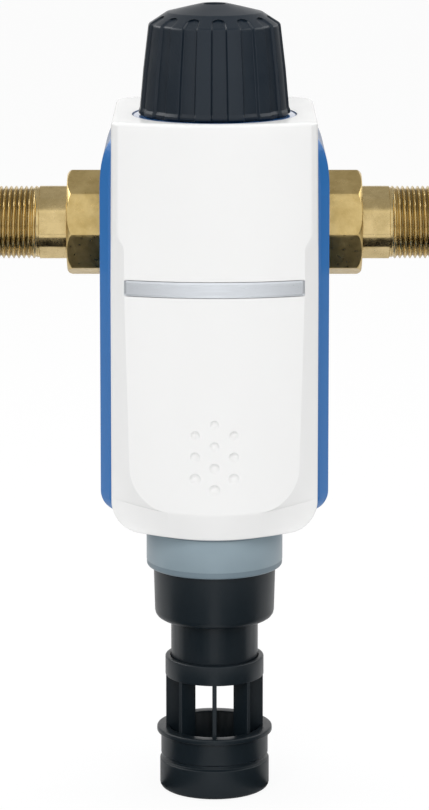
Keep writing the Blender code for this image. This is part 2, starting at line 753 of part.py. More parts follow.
def make_shell_screw(name, side, material):
    """Pan head screw that holds the rear shell on the bonnet."""
    place = (side * SHELL_SCREW_OFFSET, FILTER_Y, 0.0)
    seat = SHELL_TOP_Z + GAP
    head = seat + SHELL_SCREW_HEAD_HEIGHT
    profile = [(0.0, seat - SHELL_SCREW_LENGTH), (SHELL_SCREW_RADIUS, seat - SHELL_SCREW_LENGTH)]
    profile += [(SHELL_SCREW_RADIUS, seat), (SHELL_SCREW_HEAD_RADIUS, seat)]
    profile += [(SHELL_SCREW_HEAD_RADIUS * 0.9, head), (0.0, head)]
    return dressed(turned(name, profile, place, SMALL, solid=True), material)


# Knob, spindle and rotor

def flute(angle):
    """Depth of the knob's flutes at an angle, as a share of the full depth."""
    period = math.tau / KNOB_FLUTES
    place = ((angle - KNOB_FLUTE_TURN) / period + 0.5) % 1.0 - 0.5
    across = abs(place) / (0.5 * KNOB_FLUTE_SHARE)
    return max(0.0, 1.0 - across * across)


def knob_angles():
    """Angles of the knob's rings: four points over each flute."""
    period = math.tau / KNOB_FLUTES
    half = 0.5 * KNOB_FLUTE_SHARE
    steps = (-half, -0.5 * half, 0.5 * half, half)
    return [KNOB_FLUTE_TURN + period * (index + step) for index in range(KNOB_FLUTES) for step in steps]


def knob_ring(radius, height, depth):
    """One ring of the fluted knob about the filter axis."""
    ring = []
    for angle in knob_angles():
        reach = radius - depth * flute(angle)
        ring.append((reach * math.cos(angle), reach * math.sin(angle), height))
    return ring


def knob_rows():
    """Radius, height and share of the flutes' depth, from the knob's foot to its top."""
    foot = KNOB_FOOT_Z
    shoulder = foot + KNOB_SHOULDER_HEIGHT
    rim = foot + KNOB_DOME_HEIGHT
    lip = KNOB_BASE_RADIUS + KNOB_LIP
    middle = 0.5 * (KNOB_BASE_RADIUS + KNOB_SHOULDER_RADIUS) + KNOB_BULGE
    end_share = (KNOB_SHOULDER_RADIUS - KNOB_FLUTE_END_RADIUS) / (KNOB_SHOULDER_RADIUS - KNOB_DOME_RADIUS)
    end = shoulder + (rim - shoulder) * end_share
    rows = [(KNOB_BASE_RADIUS, foot, 0.6), (lip, foot + 0.2 * KNOB_LIP_HEIGHT, 1.0)]
    rows += [(lip, foot + 0.5 * KNOB_LIP_HEIGHT, 1.0), (KNOB_BASE_RADIUS, foot + KNOB_LIP_HEIGHT, 1.0)]
    rows += [(middle, foot + 0.5 * KNOB_SHOULDER_HEIGHT, 1.0), (KNOB_SHOULDER_RADIUS, shoulder - KNOB_EDGE, 1.0)]
    rows += [(KNOB_SHOULDER_RADIUS - KNOB_EDGE, shoulder, 1.0)]
    rows += [(KNOB_FLUTE_END_RADIUS + KNOB_FLUTE_DEPTH, end - 0.5 * KNOB_EDGE, 1.0)]
    rows += [(KNOB_FLUTE_END_RADIUS, end, 0.0), (KNOB_DOME_RADIUS, rim, 0.0)]
    rows += [(KNOB_DOME_RADIUS * 0.6, 0.4 * rim + 0.6 * KNOB_TOP_Z, 0.0)]
    rows += [(KNOB_RECESS_RADIUS + KNOB_EDGE, KNOB_TOP_Z, 0.0)]
    return rows


def make_knob(material):
    """Hollow fluted hand knob with a hub for the spindle."""
    rings = [knob_ring(radius, height, KNOB_FLUTE_DEPTH * share) for radius, height, share in knob_rows()]
    knob = lofted("knob", rings, FILTER_AXIS)
    below = KNOB_FOOT_Z - KNOB_WALL
    shoulder = KNOB_FOOT_Z + KNOB_SHOULDER_HEIGHT - KNOB_WALL
    ceiling = KNOB_FOOT_Z + KNOB_DOME_HEIGHT - KNOB_WALL
    hub_foot = ceiling - KNOB_HUB_LENGTH
    base = KNOB_BASE_RADIUS - KNOB_FLUTE_DEPTH - KNOB_WALL
    top = KNOB_SHOULDER_RADIUS - KNOB_FLUTE_DEPTH - KNOB_WALL
    hollow = [(0.0, below), (base, below), (base, KNOB_FOOT_Z), (top, shoulder)]
    hollow += [(KNOB_DOME_RADIUS - KNOB_WALL, ceiling), (KNOB_HUB_RADIUS, ceiling)]
    hollow += [(KNOB_HUB_RADIUS, hub_foot), (0.0, hub_foot)]
    tools = [turned("tool", hollow, sides=MEDIUM, solid=True)]
    tools.append(cylinder(SPINDLE_RADIUS + GAP, hub_foot - KNOB_WALL, SPINDLE_TOP_Z + GAP))
    tools.append(cylinder(KNOB_SCREW_RADIUS + GAP, SPINDLE_TOP_Z - GAP, KNOB_TOP_Z))
    tools.append(cylinder(KNOB_RECESS_RADIUS, KNOB_TOP_Z - KNOB_RECESS_DEPTH, KNOB_TOP_Z + KNOB_WALL))
    carved(knob, tools)
    return dressed(knob, material, 25.0)


def make_knob_screw(material):
    """Cap screw that holds the knob on the spindle."""
    seat = KNOB_TOP_Z - KNOB_RECESS_DEPTH + GAP
    top = seat + KNOB_SCREW_HEAD_HEIGHT
    foot = seat - KNOB_SCREW_LENGTH
    head = KNOB_RECESS_RADIUS - GAP * 1.5
    profile = [(0.0, foot), (KNOB_SCREW_RADIUS, foot), (KNOB_SCREW_RADIUS, seat), (head, seat)]
    profile += [(head, top - KNOB_SCREW_EDGE), (head - KNOB_SCREW_EDGE, top), (0.0, top)]
    screw = turned("knob_screw", profile, sides=MEDIUM, solid=True)
    socket = cylinder(KNOB_SCREW_RADIUS, top - KNOB_SCREW_SOCKET, top + GAP, sides=6)
    return dressed(carved(screw, [socket]), material)


def spindle_ring_stations():
    """Heights of the two sealing rings on the spindle."""
    upper = BONNET_TOP_Z + 0.5 * BONNET_BOSS_HEIGHT
    return upper, upper - SPINDLE_RING_SPACING


def make_spindle(material):
    """Spindle from the rotor's hub up into the knob."""
    foot = ROTOR_TOP_Z - SPINDLE_KEY_LENGTH
    collar_top = HEAD_TOP_Z - BONNET_PLUG_DEPTH - GAP
    collar_foot = collar_top - SPINDLE_COLLAR_HEIGHT
    groove = SPINDLE_RING_WIRE + GAP
    deep = SPINDLE_RADIUS - SPINDLE_RING_GROOVE
    profile = [(0.0, foot), (SPINDLE_KEY_RADIUS, foot), (SPINDLE_KEY_RADIUS, ROTOR_TOP_Z + GAP)]
    profile += [(SPINDLE_RADIUS, ROTOR_TOP_Z + GAP), (SPINDLE_RADIUS, collar_foot)]
    profile += [(SPINDLE_COLLAR_RADIUS, collar_foot), (SPINDLE_COLLAR_RADIUS, collar_top)]
    profile += [(SPINDLE_RADIUS, collar_top)]
    for station in reversed(spindle_ring_stations()):
        profile += [(SPINDLE_RADIUS, station - groove), (deep, station - groove)]
        profile += [(deep, station + groove), (SPINDLE_RADIUS, station + groove)]
    hole = KNOB_SCREW_RADIUS + GAP
    bottom = KNOB_TOP_Z - KNOB_RECESS_DEPTH - KNOB_SCREW_LENGTH - 2 * GAP
    profile += [(SPINDLE_RADIUS, SPINDLE_TOP_Z), (hole, SPINDLE_TOP_Z), (hole, bottom), (0.0, bottom)]
    return dressed(turned("spindle", profile, sides=SLIM, solid=True), material)


def make_rotor(material):
    """Suction rotor: a hollow shaft with nozzles that sweep the screen."""
    foot = PARTITION_FOOT_Z + 2 * GAP
    top = ROTOR_TOP_Z
    hub = top - ROTOR_HUB_HEIGHT
    profile = [(0.0, foot), (ROTOR_RADIUS, foot), (ROTOR_RADIUS, hub), (ROTOR_HUB_RADIUS, hub)]
    profile += [(ROTOR_HUB_RADIUS, top), (0.0, top)]
    rotor = turned("suction_rotor", profile, sides=MEDIUM, solid=True)
    lowest = CAGE_FOOT_Z + CAGE_RING_HEIGHT
    pitch = (hub - lowest) / ROTOR_ARMS
    tip = MESH_RADIUS - MESH_WALL - 1.5 * GAP
    arms = []
    for index in range(ROTOR_ARMS):
        middle = lowest + pitch * (index + 0.5)
        turn = math.pi * index + math.radians(35.0)
        half = 0.5 * ROTOR_ARM_WIDTH
        mouth = 0.5 * ROTOR_MOUTH_WIDTH
        tall = 0.5 * pitch - GAP
        arms.append(block((0.5 * ROTOR_RADIUS, -half, middle - half),
                          (tip - 0.5 * ROTOR_MOUTH_DEPTH, half, middle + half), FILTER_AXIS, turn))
        arms.append(block((tip - ROTOR_MOUTH_DEPTH, -mouth, middle - tall),
                          (tip, mouth, middle + tall), FILTER_AXIS, turn))
    fused(rotor, arms)
    tools = [cylinder(ROTOR_BORE_RADIUS, foot - GAP, hub, sides=SMALL)]
    tools.append(cylinder(SPINDLE_KEY_RADIUS + GAP, top - SPINDLE_KEY_LENGTH - GAP, top + GAP, sides=SMALL))
    return dressed(carved(rotor, tools), material)


# Head, bonnet and ports

def make_filter_head(material):
    """Brass head: an upright pot on a cross tube, with its water ways."""
    foot = HEAD_FOOT_Z
    profile = [(0.0, foot), (HEAD_RADIUS, foot), (HEAD_RADIUS, HEAD_TOP_Z), (0.0, HEAD_TOP_Z)]
    head = turned("filter_head", profile, sides=ROUND, solid=True)
    tube = cylinder(PORT_RADIUS, -PORT_REACH, PORT_REACH, at=(0, 0, 0), sides=ROUND, along="X")
    fused(head, [tube])
    ceiling = HEAD_TOP_Z - HEAD_LID_THICKNESS
    tools = [cylinder(CHAMBER_RADIUS, foot + 0.5 * CAGE_SOCKET_DEPTH, ceiling)]
    tools.append(cylinder(HEAD_MOUTH_RADIUS, ceiling - GAP, HEAD_TOP_Z + GAP))
    tools.append(cylinder(CAGE_SOCKET_RADIUS, foot - GAP, foot + CAGE_SOCKET_DEPTH))
    tools.append(flat_ring("tool", CHANNEL_INNER_RADIUS, CHANNEL_OUTER_RADIUS, foot - GAP,
                           foot + CHANNEL_HEIGHT, MEDIUM))
    inlet = cylinder(PORT_BORE_RADIUS, -PORT_REACH - GAP, 0.0, at=(0, 0, 0), along="X")
    outlet_start = CHAMBER_RADIUS + 0.5 * PARTITION_WALL
    outlet = cylinder(PORT_BORE_RADIUS, outlet_start, PORT_REACH + GAP, at=(0, 0, 0), along="X")
    tools += [inlet, outlet]
    middle = 0.5 * (CHANNEL_INNER_RADIUS + CHANNEL_OUTER_RADIUS)
    across = outlet_start + 0.5 * TRANSFER_RADIUS
    place = (across, FILTER_Y + math.sqrt(middle * middle - across * across), 0.0)
    tools.append(cylinder(TRANSFER_RADIUS, foot + 0.8 * CHANNEL_HEIGHT, 0.0, place, SMALL))
    for place in bonnet_screw_places():
        low = HEAD_TOP_Z - BONNET_SCREW_LENGTH
        tools.append(cylinder(BONNET_SCREW_RADIUS + GAP, low, HEAD_TOP_Z + GAP, place, SMALL))
    return dressed(carved(head, tools), material)


def bonnet_screw_places():
    """Places of the four bonnet screws."""
    places = []
    for index in range(4):
        angle = math.radians(45.0 + 90.0 * index)
        across = BONNET_SCREW_CIRCLE * math.cos(angle)
        places.append((across, FILTER_Y + BONNET_SCREW_CIRCLE * math.sin(angle), 0.0))
    return places


def make_bonnet(material):
    """Lid of the head with the boss that guides the spindle."""
    foot = HEAD_TOP_Z + GAP
    plug = HEAD_MOUTH_RADIUS - GAP
    plug_foot = HEAD_TOP_Z - BONNET_PLUG_DEPTH
    station = bonnet_ring_station()
    half = BONNET_RING_WIRE + GAP
    deep = plug - 2 * half
    boss_top = BONNET_TOP_Z + BONNET_BOSS_HEIGHT
    profile = [(BONNET_BORE_RADIUS, plug_foot), (plug, plug_foot), (plug, station - half)]
    profile += [(deep, station - half), (deep, station + half), (plug, station + half), (plug, foot)]
    profile += [(BONNET_RADIUS, foot), (BONNET_RADIUS, BONNET_TOP_Z), (BONNET_BOSS_RADIUS, BONNET_TOP_Z)]
    profile += [(BONNET_BOSS_RADIUS, boss_top), (BONNET_BORE_RADIUS, boss_top)]
    bonnet = turned("bonnet", profile, sides=MEDIUM)
    tools = []
    for place in bonnet_screw_places():
        tools.append(cylinder(BONNET_SCREW_RADIUS + GAP, foot - GAP, BONNET_TOP_Z + GAP, place, SMALL))
        seat = BONNET_TOP_Z - BONNET_SCREW_HEAD_HEIGHT - 2 * GAP
        tools.append(cylinder(BONNET_SCREW_HEAD_RADIUS + GAP, seat, BONNET_TOP_Z + GAP, place, SMALL))
    for side in (-1, 1):
        place = (side * SHELL_SCREW_OFFSET, FILTER_Y, 0.0)
        low = SHELL_TOP_Z - SHELL_SCREW_LENGTH - GAP
        tools.append(cylinder(SHELL_SCREW_RADIUS + GAP, low, BONNET_TOP_Z + GAP, place, SMALL))
    return dressed(carved(bonnet, tools), material)


def bonnet_ring_station():
    """Height of the sealing ring in the bonnet's plug."""
    return HEAD_TOP_Z - 0.5 * BONNET_PLUG_DEPTH


def make_bonnet_screw(name, place, material):
    """Cap screw of the bonnet, sunk flush in its flange."""
    seat = BONNET_TOP_Z - BONNET_SCREW_HEAD_HEIGHT - GAP
    top = seat + BONNET_SCREW_HEAD_HEIGHT
    foot = HEAD_TOP_Z - BONNET_SCREW_LENGTH + GAP
    profile = [(0.0, foot), (BONNET_SCREW_RADIUS, foot), (BONNET_SCREW_RADIUS, seat)]
    profile += [(BONNET_SCREW_HEAD_RADIUS, seat), (BONNET_SCREW_HEAD_RADIUS, top), (0.0, top)]
    screw = turned(name, profile, place, SMALL, solid=True)
    socket = cylinder(0.5 * BONNET_SCREW_HEAD_RADIUS, top - BONNET_SCREW_SOCKET, top + GAP, place, 6)
    return dressed(carved(screw, [socket]), material)


# Bowl, screen and drain

def make_bowl(material):
    """Filter bowl that hangs from the head round the screen."""
    inner = BOWL_RADIUS - BOWL_WALL
    flange = BOWL_TOP_Z - BOWL_FLANGE_HEIGHT
    profile = [(inner, BOWL_FOOT_Z), (BOWL_RADIUS, BOWL_FOOT_Z), (BOWL_RADIUS, flange)]
    profile += [(BOWL_FLANGE_RADIUS, flange), (BOWL_FLANGE_RADIUS, BOWL_TOP_Z), (inner, BOWL_TOP_Z)]
    return dressed(turned("filter_bowl", profile), material)


def make_clamp_ring(material):
    """Screw ring with hand grips that holds the bowl on the head."""
    seat = BOWL_TOP_Z - BOWL_FLANGE_HEIGHT - GAP
    foot = seat - CLAMP_SHOULDER
    top = seat + CLAMP_SKIRT
    bore = HEAD_RADIUS + GAP
    outer = bore + CLAMP_WALL
    rings = []
    for height in (foot, top):
        ring = []
        for index in range(4 * CLAMP_GRIPS):
            angle = math.tau * index / (4 * CLAMP_GRIPS)
            reach = outer - (CLAMP_GRIP_DEPTH if index % 4 in (0, 1) else 0.0)
            ring.append((reach * math.cos(angle), reach * math.sin(angle), height))
        rings.append(ring)
    clamp = lofted("clamp_ring", rings, FILTER_AXIS)
    tools = [cylinder(BOWL_SEAT_RADIUS, foot - GAP, seat + GAP, sides=ROUND)]
    tools.append(cylinder(bore, seat, top + GAP, sides=ROUND))
    return dressed(carved(clamp, tools), material)


def make_screen_cage(material):
    """Cage of rings and posts that backs the fine screen."""
    inner, outer = CAGE_INNER_RADIUS, CAGE_OUTER_RADIUS
    heights = [CAGE_FOOT_Z, CAGE_FOOT_Z + CAGE_RING_HEIGHT]
    pitch = (CAGE_TOP_Z - CAGE_FOOT_Z - CAGE_RING_HEIGHT) / CAGE_TIERS
    for tier in range(1, CAGE_TIERS + 1):
        start = CAGE_FOOT_Z + pitch * tier
        heights += [start, start + CAGE_RING_HEIGHT]
    columns = 3 * CAGE_POSTS
    bm = bmesh.new()
    grid = {}
    for row, height in enumerate(heights):
        for column in range(columns):
            angle = math.tau * column / columns
            for layer, radius in enumerate((inner, outer)):
                point = (radius * math.cos(angle), radius * math.sin(angle), height)
                grid[row, column, layer] = bm.verts.new(point)
    rows = len(heights)
    filled = {(row, column) for row in range(rows - 1) for column in range(columns)
              if row % 2 == 0 or column % 3 == 0}
    for row, column in filled:
        after = (column + 1) % columns
        cell = [(row, column), (row, after), (row + 1, after), (row + 1, column)]
        for layer in (0, 1):
            bm.faces.new([grid[r, c, layer] for r, c in cell])
        neighbours = [(row - 1, column), (row, after), (row + 1, column), (row, (column - 1) % columns)]
        for side, neighbour in enumerate(neighbours):
            if neighbour not in filled:
                first, second = cell[side], cell[(side + 1) % 4]
                bm.faces.new([grid[(*first, 0)], grid[(*second, 0)], grid[(*second, 1)], grid[(*first, 1)]])
    return dressed(placed("screen_cage", bm, FILTER_AXIS), material)


def make_screen_mesh(material):
    """Fine screen sleeve inside the cage."""
    return dressed(flat_ring("screen_mesh", MESH_RADIUS - MESH_WALL, MESH_RADIUS,
                             CAGE_FOOT_Z + GAP, CAGE_TOP_Z - GAP, 3 * CAGE_POSTS), material)


def make_partition(material):
    """Disc that closes the screen below and bears the rotor's shaft."""
    bore = ROTOR_RADIUS + GAP
    rim = CUP_RADIUS - CUP_WALL - GAP
    profile = [(bore, PARTITION_FOOT_Z), (rim, PARTITION_FOOT_Z), (rim, PARTITION_TOP_Z)]
    profile += [(PARTITION_HUB_RADIUS, PARTITION_TOP_Z)]
    profile += [(PARTITION_HUB_RADIUS, PARTITION_TOP_Z + PARTITION_HUB_RISE)]
    profile += [(bore, PARTITION_TOP_Z + PARTITION_HUB_RISE)]
    return dressed(turned("rotor_bearing", profile, sides=MEDIUM), material)


def make_cup(material):
    """Dark drain cup with its outlet neck."""
    flange = CUP_TOP_Z - CUP_FLANGE_HEIGHT
    side = CUP_RADIUS - CUP_WALL
    chamber_top = CUP_FLOOR_Z + CUP_CHAMBER_HEIGHT
    bead = NECK_FOOT_Z + NECK_LENGTH - NECK_BEAD_DROP
    profile = [(side, CUP_TOP_Z), (side, chamber_top), (CUP_CHAMBER_RADIUS, chamber_top)]
    profile += [(CUP_CHAMBER_RADIUS, CUP_FLOOR_Z), (DRAIN_SEAT_RADIUS, CUP_FLOOR_Z)]
    profile += [(DRAIN_SEAT_RADIUS, CUP_FOOT_Z), (NECK_BORE_RADIUS, CUP_FOOT_Z), (NECK_BORE_RADIUS, NECK_FOOT_Z)]
    profile += [(NECK_RADIUS, NECK_FOOT_Z), (NECK_RADIUS, bead - NECK_BEAD)]
    profile += [(NECK_RADIUS + NECK_BEAD, bead), (NECK_RADIUS + NECK_BEAD, bead + NECK_BEAD_HEIGHT)]
    profile += [(NECK_RADIUS, bead + NECK_BEAD_HEIGHT), (NECK_RADIUS, CUP_FOOT_Z)]
    corner = (CUP_FOOT_RADIUS - CUP_CORNER, CUP_FOOT_Z + CUP_CORNER)
    profile += arc(corner, CUP_CORNER, -90, 0, 3)
    profile += [(CUP_RADIUS, flange), (BOWL_RADIUS, flange), (BOWL_RADIUS, CUP_TOP_Z)]
    return dressed(turned("drain_cup", profile), material)


def make_bowl_ring(material):
    """Grey ring that screws the drain cup to the bowl."""
    foot = RING_FOOT_Z
    top = foot + RING_HEIGHT
    seat = foot + RING_SHOULDER
    profile = [(CUP_RADIUS + GAP, foot)]
    profile += arc((RING_RADIUS - RING_FOOT_ROUND, foot + RING_FOOT_ROUND), RING_FOOT_ROUND, -90, 0, 3)
    profile += [(RING_RADIUS, top), (BOWL_SEAT_RADIUS, top), (BOWL_SEAT_RADIUS, seat), (CUP_RADIUS + GAP, seat)]
    return dressed(turned("bowl_ring", profile), material)


def make_drain_plug(material):
    """Valve disc on a stem that slides in the rotor's bore."""
    foot = CUP_FLOOR_Z + PLUG_SEAL_HEIGHT + 2 * GAP
    top = foot + PLUG_HEIGHT
    profile = [(0.0, foot), (PLUG_RADIUS, foot), (PLUG_RADIUS, top), (PLUG_STEM_RADIUS, top)]
    profile += [(PLUG_STEM_RADIUS, top + PLUG_STEM_LENGTH), (0.0, top + PLUG_STEM_LENGTH)]
    return dressed(turned("drain_plug", profile, sides=MEDIUM, solid=True), material)


def make_funnel(material):
    """Drain funnel: a snap ring, upright ribs over the air gap, and a spigot."""
    ring_top = RIB_TOP_Z + FUNNEL_RING_HEIGHT
    bore = NECK_RADIUS + GAP
    bead = NECK_FOOT_Z + NECK_LENGTH - NECK_BEAD_DROP
    groove_low = bead - NECK_BEAD - GAP
    groove_high = bead + NECK_BEAD_HEIGHT + GAP
    deep = bore + NECK_BEAD
    foot = RIB_TOP_Z - 0.5 * FUNNEL_FLANGE_HEIGHT
    profile = [(bore, foot), (FUNNEL_RING_RADIUS, foot), (FUNNEL_RING_RADIUS, ring_top - FUNNEL_RING_EDGE)]
    profile += [(FUNNEL_RING_RADIUS - FUNNEL_RING_EDGE, ring_top), (bore, ring_top), (bore, groove_high)]
    profile += [(deep, groove_high), (deep, groove_low), (bore, groove_low - NECK_BEAD)]
    funnel = turned("drain_funnel", profile)
    tools = []
    for index in range(FUNNEL_RIBS):
        turn = math.tau * index / FUNNEL_RIBS - math.pi / 2
        half = 0.5 * FUNNEL_RIB_THICKNESS
        low = FLANGE_TOP_Z - 0.6 * FUNNEL_THROAT_DROP
        corner = (FUNNEL_RIB_OUTER, half, RIB_TOP_Z)
        tools.append(block((FUNNEL_RIB_INNER, -half, low), corner, FILTER_AXIS, turn))
    tools.append(spigot_body())
    return dressed(fused(funnel, tools), material)


def spigot_body():
    """Flange and spigot of the funnel, with the cone inside."""
    foot = SPIGOT_FOOT_Z
    throat = FLANGE_TOP_Z - FUNNEL_THROAT_DROP
    groove = FLANGE_FOOT_Z - SPIGOT_GROOVE_DROP
    low = groove - SPIGOT_GROOVE_HEIGHT
    deep = SPIGOT_RADIUS - SPIGOT_GROOVE_DEPTH
    profile = [(SPIGOT_BORE_RADIUS, foot)]
    profile += arc((SPIGOT_RADIUS - SPIGOT_FOOT_ROUND, foot + SPIGOT_FOOT_ROUND), SPIGOT_FOOT_ROUND, -90, 0, 3)
    profile += [(SPIGOT_RADIUS, low), (deep, low + SPIGOT_GROOVE_EDGE), (deep, groove - SPIGOT_GROOVE_EDGE)]
    profile += [(SPIGOT_UPPER_RADIUS, groove), (SPIGOT_UPPER_RADIUS, FLANGE_FOOT_Z)]
    profile.append((FUNNEL_FLANGE_RADIUS, FLANGE_FOOT_Z))
    profile.append((FUNNEL_FLANGE_RADIUS, FLANGE_TOP_Z - FUNNEL_FLANGE_EDGE))
    profile += [(FUNNEL_FLANGE_RADIUS - FUNNEL_FLANGE_EDGE, FLANGE_TOP_Z), (FUNNEL_MOUTH_RADIUS, FLANGE_TOP_Z)]
    profile += [(FUNNEL_THROAT_RADIUS, throat), (FUNNEL_THROAT_RADIUS, throat - FUNNEL_THROAT_LENGTH)]
    profile += [(SPIGOT_BORE_RADIUS, throat - FUNNEL_THROAT_LENGTH - FUNNEL_THROAT_RELIEF)]
    return turned("tool", profile)


# Pipe unions

def nut_stations():
    """Inner end, shoulder and outer end of a union nut, from the middle."""
    collar = PORT_REACH + UNION_GASKET_HEIGHT + 2 * GAP
    shoulder = collar + NIPPLE_COLLAR_LENGTH + GAP
    outer = shoulder + NUT_SHOULDER
    return outer - NUT_LENGTH, shoulder, outer


def make_union_nut(name, side, material):
    """Eight sided union nut round one port."""
    inner, shoulder, outer = nut_stations()
    thread = PORT_RADIUS + NUT_THREAD_CLEARANCE
    rim = NUT_CORNER_RADIUS - 0.6 * NUT_CHAMFER
    wide = NUT_CORNER_RADIUS + GAP
    profile = [(thread, inner), (wide - NUT_EDGE, inner), (wide, inner + NUT_EDGE)]
    profile += [(wide, outer - NUT_CHAMFER), (wide - NUT_EDGE, outer - 0.5 * NUT_CHAMFER)]
    profile += [(rim, outer), (NIPPLE_RADIUS + 2 * GAP, outer), (NIPPLE_RADIUS + 2 * GAP, shoulder)]
    profile += [(thread, shoulder)]
    profile = [(radius, side * station) for radius, station in profile]
    nut = turned(name, profile, (0, 0, 0), ROUND, along="X")
    low, high = sorted((side * (inner - GAP), side * (outer + GAP)))
    combined(nut, prism(NUT_CORNER_RADIUS, NUT_SIDES, low, high, NUT_TURN), "INTERSECT")
    return dressed(nut, material, 20.0)


def make_nipple(name, side, material):
    """Threaded pipe nipple with six wrench flats."""
    start = PORT_REACH + UNION_GASKET_HEIGHT + 2 * GAP
    neck = start + NIPPLE_COLLAR_LENGTH
    flats = neck + NIPPLE_NECK_LENGTH
    thread = flats + NIPPLE_FLATS_LENGTH
    end = thread + NIPPLE_THREAD_LENGTH
    root = NIPPLE_RADIUS - THREAD_ROOT_STEP
    profile = [(NIPPLE_BORE_RADIUS, start), (NIPPLE_COLLAR_RADIUS, start), (NIPPLE_COLLAR_RADIUS, neck)]
    slant = 0.3 * THREAD_RELIEF_LENGTH
    relief = thread + THREAD_RELIEF_LENGTH
    profile += [(NIPPLE_RADIUS, neck), (NIPPLE_RADIUS, thread), (root, thread + slant)]
    profile += [(root, relief - slant), (NIPPLE_RADIUS, relief)]
    profile += [(NIPPLE_RADIUS, end - NIPPLE_END_CHAMFER), (NIPPLE_RADIUS - NIPPLE_END_CHAMFER, end)]
    profile += [(NIPPLE_BORE_RADIUS, end)]
    profile = [(radius, side * station) for radius, station in profile]
    nipple = turned(name, profile, (0, 0, 0), ROUND, along="X")
    tools = []
    for index in range(NIPPLE_FLATS):
        low, high = sorted((side * flats, side * thread))
        angle = NIPPLE_FLATS_TURN + math.tau * index / NIPPLE_FLATS
        flat = block((low, NIPPLE_FLAT_DISTANCE, -NIPPLE_RADIUS), (high, 2 * NIPPLE_RADIUS, NIPPLE_RADIUS))
        flat.rotation_euler = (math.pi - angle, 0.0, 0.0)
        tools.append(flat)
    return dressed(carved(nipple, tools), material, 20.0)


def make_union_gasket(name, side, material):
    """Flat gasket between one port and its nipple."""
    low = side * (PORT_REACH + GAP)
    high = side * (PORT_REACH + GAP + UNION_GASKET_HEIGHT)
    inner = PORT_BORE_RADIUS + 2 * GAP
    outer = NIPPLE_COLLAR_RADIUS - GAP
    profile = [(inner, low), (outer, low), (outer, high), (inner, high)]
    return dressed(turned(name, profile, (0, 0, 0), MEDIUM, along="X"), material)


def build():
    """Make every piece of the filter."""
    clear_scene()
    white = finish("white_plastic", WHITE, 0.28)
    blue = finish("blue_plastic", BLUE, 0.38)
    slate = finish("slate_plastic", SLATE, 0.42)
    charcoal = finish("charcoal_plastic", CHARCOAL, 0.40)
    silver = finish("trim_metal", SILVER, 0.25, 1.0)
    ring_grey = finish("ring_plastic", RING_GREY, 0.35)
    brass = finish("cast_brass", BRASS, 0.42, 1.0)
    steel = finish("stainless_steel", STEEL, 0.30, 1.0)
    rubber = finish("black_rubber", BLACK_RUBBER, 0.75)
    fibre = finish("fibre", FIBRE_RED, 0.80)
    bowl = finish("clear_bowl", CLEAR_PLASTIC, 0.12)
    natural = finish("natural_plastic", NATURAL_PLASTIC, 0.45)

    make_knob(slate)
    make_knob_screw(steel)
    make_spindle(brass)
    upper, lower = spindle_ring_stations()
    ring_radius = SPINDLE_RADIUS - SPINDLE_RING_GROOVE + GAP + SPINDLE_RING_WIRE
    dressed(sealing_ring("spindle_ring_upper", ring_radius, SPINDLE_RING_WIRE, upper, SMALL), rubber)
    dressed(sealing_ring("spindle_ring_lower", ring_radius, SPINDLE_RING_WIRE, lower, SMALL), rubber)
    make_rotor(natural)

    make_front_cover(white)
    make_trim_strip(silver)
    make_rear_shell(blue)
    make_top_collar(blue)
    make_shell_screw("shell_screw_left", -1, steel)
    make_shell_screw("shell_screw_right", 1, steel)

    make_filter_head(brass)
    make_bonnet(charcoal)
    for index, place in enumerate(bonnet_screw_places(), 1):
        make_bonnet_screw(f"bonnet_screw_{index}", place, steel)
    seal = HEAD_MOUTH_RADIUS - GAP - BONNET_RING_WIRE
    dressed(sealing_ring("bonnet_ring", seal, BONNET_RING_WIRE, bonnet_ring_station()), rubber)

    make_bowl(bowl)
    make_clamp_ring(charcoal)
    gasket_foot = BOWL_TOP_Z + GAP
    dressed(flat_ring("bowl_gasket", CHANNEL_OUTER_RADIUS + GAP, HEAD_RADIUS - GAP,
                      gasket_foot, gasket_foot + GASKET_HEIGHT), rubber)
    make_screen_cage(natural)
    make_screen_mesh(steel)
    make_partition(natural)
    make_bowl_ring(ring_grey)
    make_cup(charcoal)
    cup_gasket_foot = CUP_TOP_Z + GAP
    dressed(flat_ring("cup_gasket", BOWL_RADIUS - BOWL_WALL + GAP, BOWL_RADIUS - GAP,
                      cup_gasket_foot, cup_gasket_foot + GASKET_HEIGHT), rubber)
    make_drain_plug(charcoal)
    plug_seal_foot = CUP_FLOOR_Z + GAP
    dressed(flat_ring("drain_plug_seal", DRAIN_SEAT_RADIUS + GAP, PLUG_RADIUS - GAP,
                      plug_seal_foot, plug_seal_foot + PLUG_SEAL_HEIGHT, MEDIUM), rubber)
    make_funnel(charcoal)

    for name, side in (("left", -1), ("right", 1)):
        make_union_nut(f"union_nut_{name}", side, brass)
        make_nipple(f"pipe_nipple_{name}", side, brass)
        make_union_gasket(f"union_gasket_{name}", side, fibre)


build()
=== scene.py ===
"""Looks for the backwash water filter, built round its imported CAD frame.

Sizes are metres. +X runs along the pipe, -Y is the front and +Z is up.
"""

from __future__ import annotations

import logging
import math
from dataclasses import dataclass, field
from enum import Enum
from typing import Callable, Iterable, Sequence

